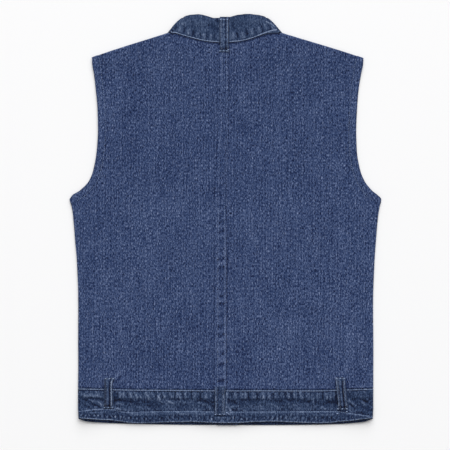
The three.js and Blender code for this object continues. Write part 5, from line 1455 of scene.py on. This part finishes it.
class Thread:
    """Many short stitches, joined into one mesh."""

    def __init__(self):
        self.v, self.f = [], []

    def stitch(self, x, y, dx, dy, length, thick, names, sink=0.0):
        here = drop(names, x, y)
        if here is None:
            return
        z, normal = here
        if normal.z < 0.35:
            return
        d = Vector((dx, dy, 0.0))
        d = (d - normal * d.dot(normal)).normalized()
        side = normal.cross(d)
        centre = Vector((x * MM, y * MM, z))
        first = len(self.v)
        for along, fat, up in STITCH_RINGS:
            c = centre + d * (along * length / 2 * MM) + normal * ((up * thick * 0.5 - sink) * MM)
            for k in range(6):
                a = math.pi * k / 3
                self.v.append(c + (side * math.cos(a) + normal * math.sin(a) * 0.8) * (fat * thick / 2 * MM))
        m = len(STITCH_RINGS)
        for i in range(m - 1):
            for k in range(6):
                a, b = first + i * 6 + k, first + i * 6 + (k + 1) % 6
                self.f.append((a, b, b + 6, a + 6))
        self.f.append(tuple(first + k for k in reversed(range(6))))
        self.f.append(tuple(first + (m - 1) * 6 + k for k in range(6)))

    def row(self, points, names, pitch=3.1, length=2.5, thick=0.62, seed=0, sink=0.0, jitter=0.1, skip=None):
        """Stitches along a line of points (mm)."""
        r = np.random.default_rng(seed)
        p = np.asarray(points, float)
        seg = np.hypot(*np.diff(p, axis=0).T)
        run = np.concatenate([[0], np.cumsum(seg)])
        s = pitch / 2
        while s < run[-1]:
            x, y = np.interp(s, run, p[:, 0]), np.interp(s, run, p[:, 1])
            xa, ya = np.interp(s + 0.4, run, p[:, 0]), np.interp(s + 0.4, run, p[:, 1])
            xb, yb = np.interp(s - 0.4, run, p[:, 0]), np.interp(s - 0.4, run, p[:, 1])
            d = math.hypot(xa - xb, ya - yb)
            if d > 0 and not (skip and skip(x, y)):
                turn = r.normal(0, jitter)
                dx, dy = (xa - xb) / d, (ya - yb) / d
                c, sn = math.cos(turn), math.sin(turn)
                self.stitch(x, y, dx * c - dy * sn, dx * sn + dy * c, length * (1 + r.normal(0, 0.06)), thick, names, sink)
            s += pitch * (1 + r.normal(0, 0.03))

    def tack(self, x0, y0, x1, y1, names, seed=0, lumps=3):
        """A bar tack: dense cross stitches between two places in the picture, heaped in a few lumps."""
        r = np.random.default_rng(seed)
        ax, ay = (float(v) for v in px(x0, y0))
        bx, by = (float(v) for v in px(x1, y1))
        length = math.hypot(bx - ax, by - ay)
        dx, dy = (bx - ax) / length, (by - ay) / length
        for k in range(lumps):
            middle = length * (k + 0.5 + 0.35 * (k / max(1, lumps - 1) * 2 - 1)) / lumps
            for i in range(6):
                at = middle + (i - 2.5) * 0.34 + r.normal(0, 0.05)
                turn = 0.35 * (1 if i % 2 else -1)
                c, sn = math.cos(turn), math.sin(turn)
                self.stitch(ax + dx * at, ay + dy * at, -dy * c - dx * sn, dx * c - dy * sn,
                            2.1 - 0.18 * abs(i - 2.5) + r.normal(0, 0.08), 0.9, names, -0.3)
        self.row([(ax, ay), (bx, by)], names, 1.5, 1.3, 0.5, seed + 5, 0.1)

    def build(self, name):
        mesh = bpy.data.meshes.new(name)
        mesh.from_pydata([tuple(v) for v in self.v], [], self.f)
        mesh.polygons.foreach_set("use_smooth", np.ones(len(mesh.polygons), bool))
        mesh.materials.append(THREAD_COTTON)
        obj = bpy.data.objects.new(name, mesh)
        bpy.context.scene.collection.objects.link(obj)
        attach(obj, "root")
        return obj


def armhole_line(side, inset):
    """A line that keeps its distance inside the armhole's edge."""
    y = np.linspace(40.5, 281, 240)
    x = armhole[side](y)
    d = np.stack([np.gradient(x), np.gradient(y)], 1)
    d /= np.hypot(d[:, 0], d[:, 1])[:, None]
    s = SIGN[side]
    nx, ny = -s * d[:, 1], s * d[:, 0]
    p = np.stack([x + nx * inset, y + ny * inset], 1)
    keep = np.abs(p[:, 0]) < np.abs(outline[side](np.minimum(p[:, 1], 37))) - 4
    return p[keep]


backs = ["vest_back_left", "vest_back_right"]
thread = Thread()
for side, seed in (("left", 1), ("right", 2)):
    thread.row(armhole_line(side, 12.9), [f"vest_back_{side}"], 3.2, 2.5, 0.58, seed, 0.05)
for inset, seed, key in ((3.4, 3, "under"), (-3.6, 4, "over")):
    # the stitches sink deeper into the cloth in the middle of the back
    for low, high, thick, sink in ((-296, 22, 0.58, 0.05), (22, 226, 0.38, 0.14), (226, 306, 0.54, 0.05)):
        y = np.linspace(low, high, 120)
        x = (lap_under if key == "under" else lap_over)(y) + inset
        thread.row(np.stack([x, y], 1), ["vest_back_left"], 3.1, 2.5, thick, seed + high, sink)
back_thread = thread.build("stitches_back")

thread = Thread()


def on_loop(x, y):
    """Whether a place is covered by a belt loop."""
    return float(loop_shadow(np.array(x), np.array(y))) < 0.5 and y < -270


band_only = ["vest_waistband_back"]
x = np.linspace(-257, 258, 420)
thread.row(np.stack([x, band_seam(x) - 1.6], 1), band_only, 3.2, 2.6, 0.60, 5, 0.02, skip=on_loop)
lx_, ly_ = px(HEM_LINE["x"], HEM_LINE["y"])
hem_y = through({"x": lx_, "y": ly_}, "x", "y")
thread.row(np.stack([x, hem_y(x)], 1), band_only, 3.3, 2.6, 0.62, 6, 0.05)
band_thread = thread.build("stitches_waistband")

thread = Thread()
x = np.linspace(-92, 89, 220)
seam_y = np.where(x < NECK_X, back_top("left", x), back_top("right", x))


def on_collar_loop(x, y):
    return -10.5 < x < 7.5


thread.row(np.stack([x, seam_y + 1.7 + line_climb(x)], 1), ["vest_collar"], 3.1, 2.5, 0.62, 7, 0.02, skip=on_collar_loop)
collar_thread = thread.build("stitches_collar")

thread = Thread()
for name, spec in LOOPS.items():
    rows_ = spec["rows"]
    ys = np.linspace(rows_["y"][0] + 1.0, rows_["y"][-1] - 1.0, 60)
    left = through(rows_, "y", "left")(ys)
    right = through(rows_, "y", "right")(ys)
    for share in (0.21, 0.79):
        x, y = px(mix(left, right, share), ys)
        thread.row(np.stack([x, y], 1), [f"vest_{name}"], 2.9, 2.3, 0.55, 20 + int(share * 10), 0.04)
everything = list(surface)
thread.tack(103.9, 407.5, 113.0, 407.2, everything, 31)
thread.tack(105.2, 378.7, 113.6, 378.6, everything, 32)
thread.tack(215.0, 414.2, 224.6, 414.0, everything, 33)
thread.tack(337.0, 413.6, 339.4, 413.8, everything, 40, 1)
thread.tack(346.6, 411.6, 347.6, 411.6, everything, 41, 1)
thread.tack(226.6, 412.6, 229.0, 414.0, everything, 42, 2)
thread.tack(337.4, 408.8, 347.2, 408.7, everything, 35)
thread.tack(336.2, 378.3, 344.6, 378.3, everything, 36)
thread.tack(219.6, 51.1, 227.4, 51.1, everything, 37)
thread.tack(228.0, 49.9, 230.6, 49.9, everything, 39, 1)
thread.tack(220.2, 19.9, 227.8, 19.7, everything, 38)
loop_thread = thread.build("stitches_loops")

for side in ("left", "right"):
    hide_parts(f"back_{side}")
    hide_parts(f"front_{side}")
    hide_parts(f"waistband_front_{side}")
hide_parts("collar")
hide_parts("waistband_back")
LOOP_CUT = {"belt_loop_left": (0.0150, 0.054), "belt_loop_centre": (0.0170, 0.0515),
            "belt_loop_right": (0.0170, 0.057), "collar_loop": (0.0155, 0.061)}
for name, cut in LOOP_CUT.items():
    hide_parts(name)

# ---------------------------------------------------------------- floor and light
floor_mesh = bpy.data.meshes.new("floor")
R = 9.0
floor_mesh.from_pydata([(-R, -R, -0.0002), (R, -R, -0.0002), (R, R, -0.0002), (-R, R, -0.0002)], [], [(0, 1, 2, 3)])
floor = bpy.data.objects.new("floor", floor_mesh)
bpy.context.scene.collection.objects.link(floor)
n = Nodes("paper_floor")
shader = n.node("ShaderNodeBsdfPrincipled")
shader.inputs["Base Color"].default_value = (0.90, 0.90, 0.905, 1.0)
shader.inputs["Roughness"].default_value = 1.0
shader.inputs["Specular IOR Level"].default_value = 0.0
out = n.node("ShaderNodeOutputMaterial")
n.put(shader.outputs[0], out.inputs[0])
floor_mesh.materials.append(n.material)

world = bpy.data.worlds.new("world")
bpy.context.scene.world = world
world.use_nodes = True
world.node_tree.nodes["Background"].inputs[0].default_value = (1.0, 1.0, 1.0, 1.0)
world.node_tree.nodes["Background"].inputs[1].default_value = 0.385


def panel(name, where, size, watts, aim=(0.0, 0.0, 0.0)):
    light = bpy.data.lights.new(name, "AREA")
    light.shape = "RECTANGLE"
    light.size, light.size_y = size
    light.energy = watts
    obj = bpy.data.objects.new(name, light)
    obj.location = where
    obj.rotation_mode = "QUATERNION"
    obj.rotation_quaternion = (Vector(aim) - Vector(where)).to_track_quat("-Z", "Y")
    bpy.context.scene.collection.objects.link(obj)


panel("fill", (0.0, 1.3, 2.6), (2.4, 2.4), 15.0)
sun = bpy.data.lights.new("key", "SUN")
sun.energy = 2.75
sun.angle = math.radians(58)
key = bpy.data.objects.new("key", sun)
key.rotation_euler = (math.radians(-51), 0.0, math.radians(-8))
bpy.context.scene.collection.objects.link(key)

scene = bpy.context.scene
scene.view_settings.view_transform = "Standard"
scene.view_settings.look = "None"
scene.view_settings.exposure = 0.0
scene.view_settings.gamma = 1.0

bpy.context.view_layer.update()
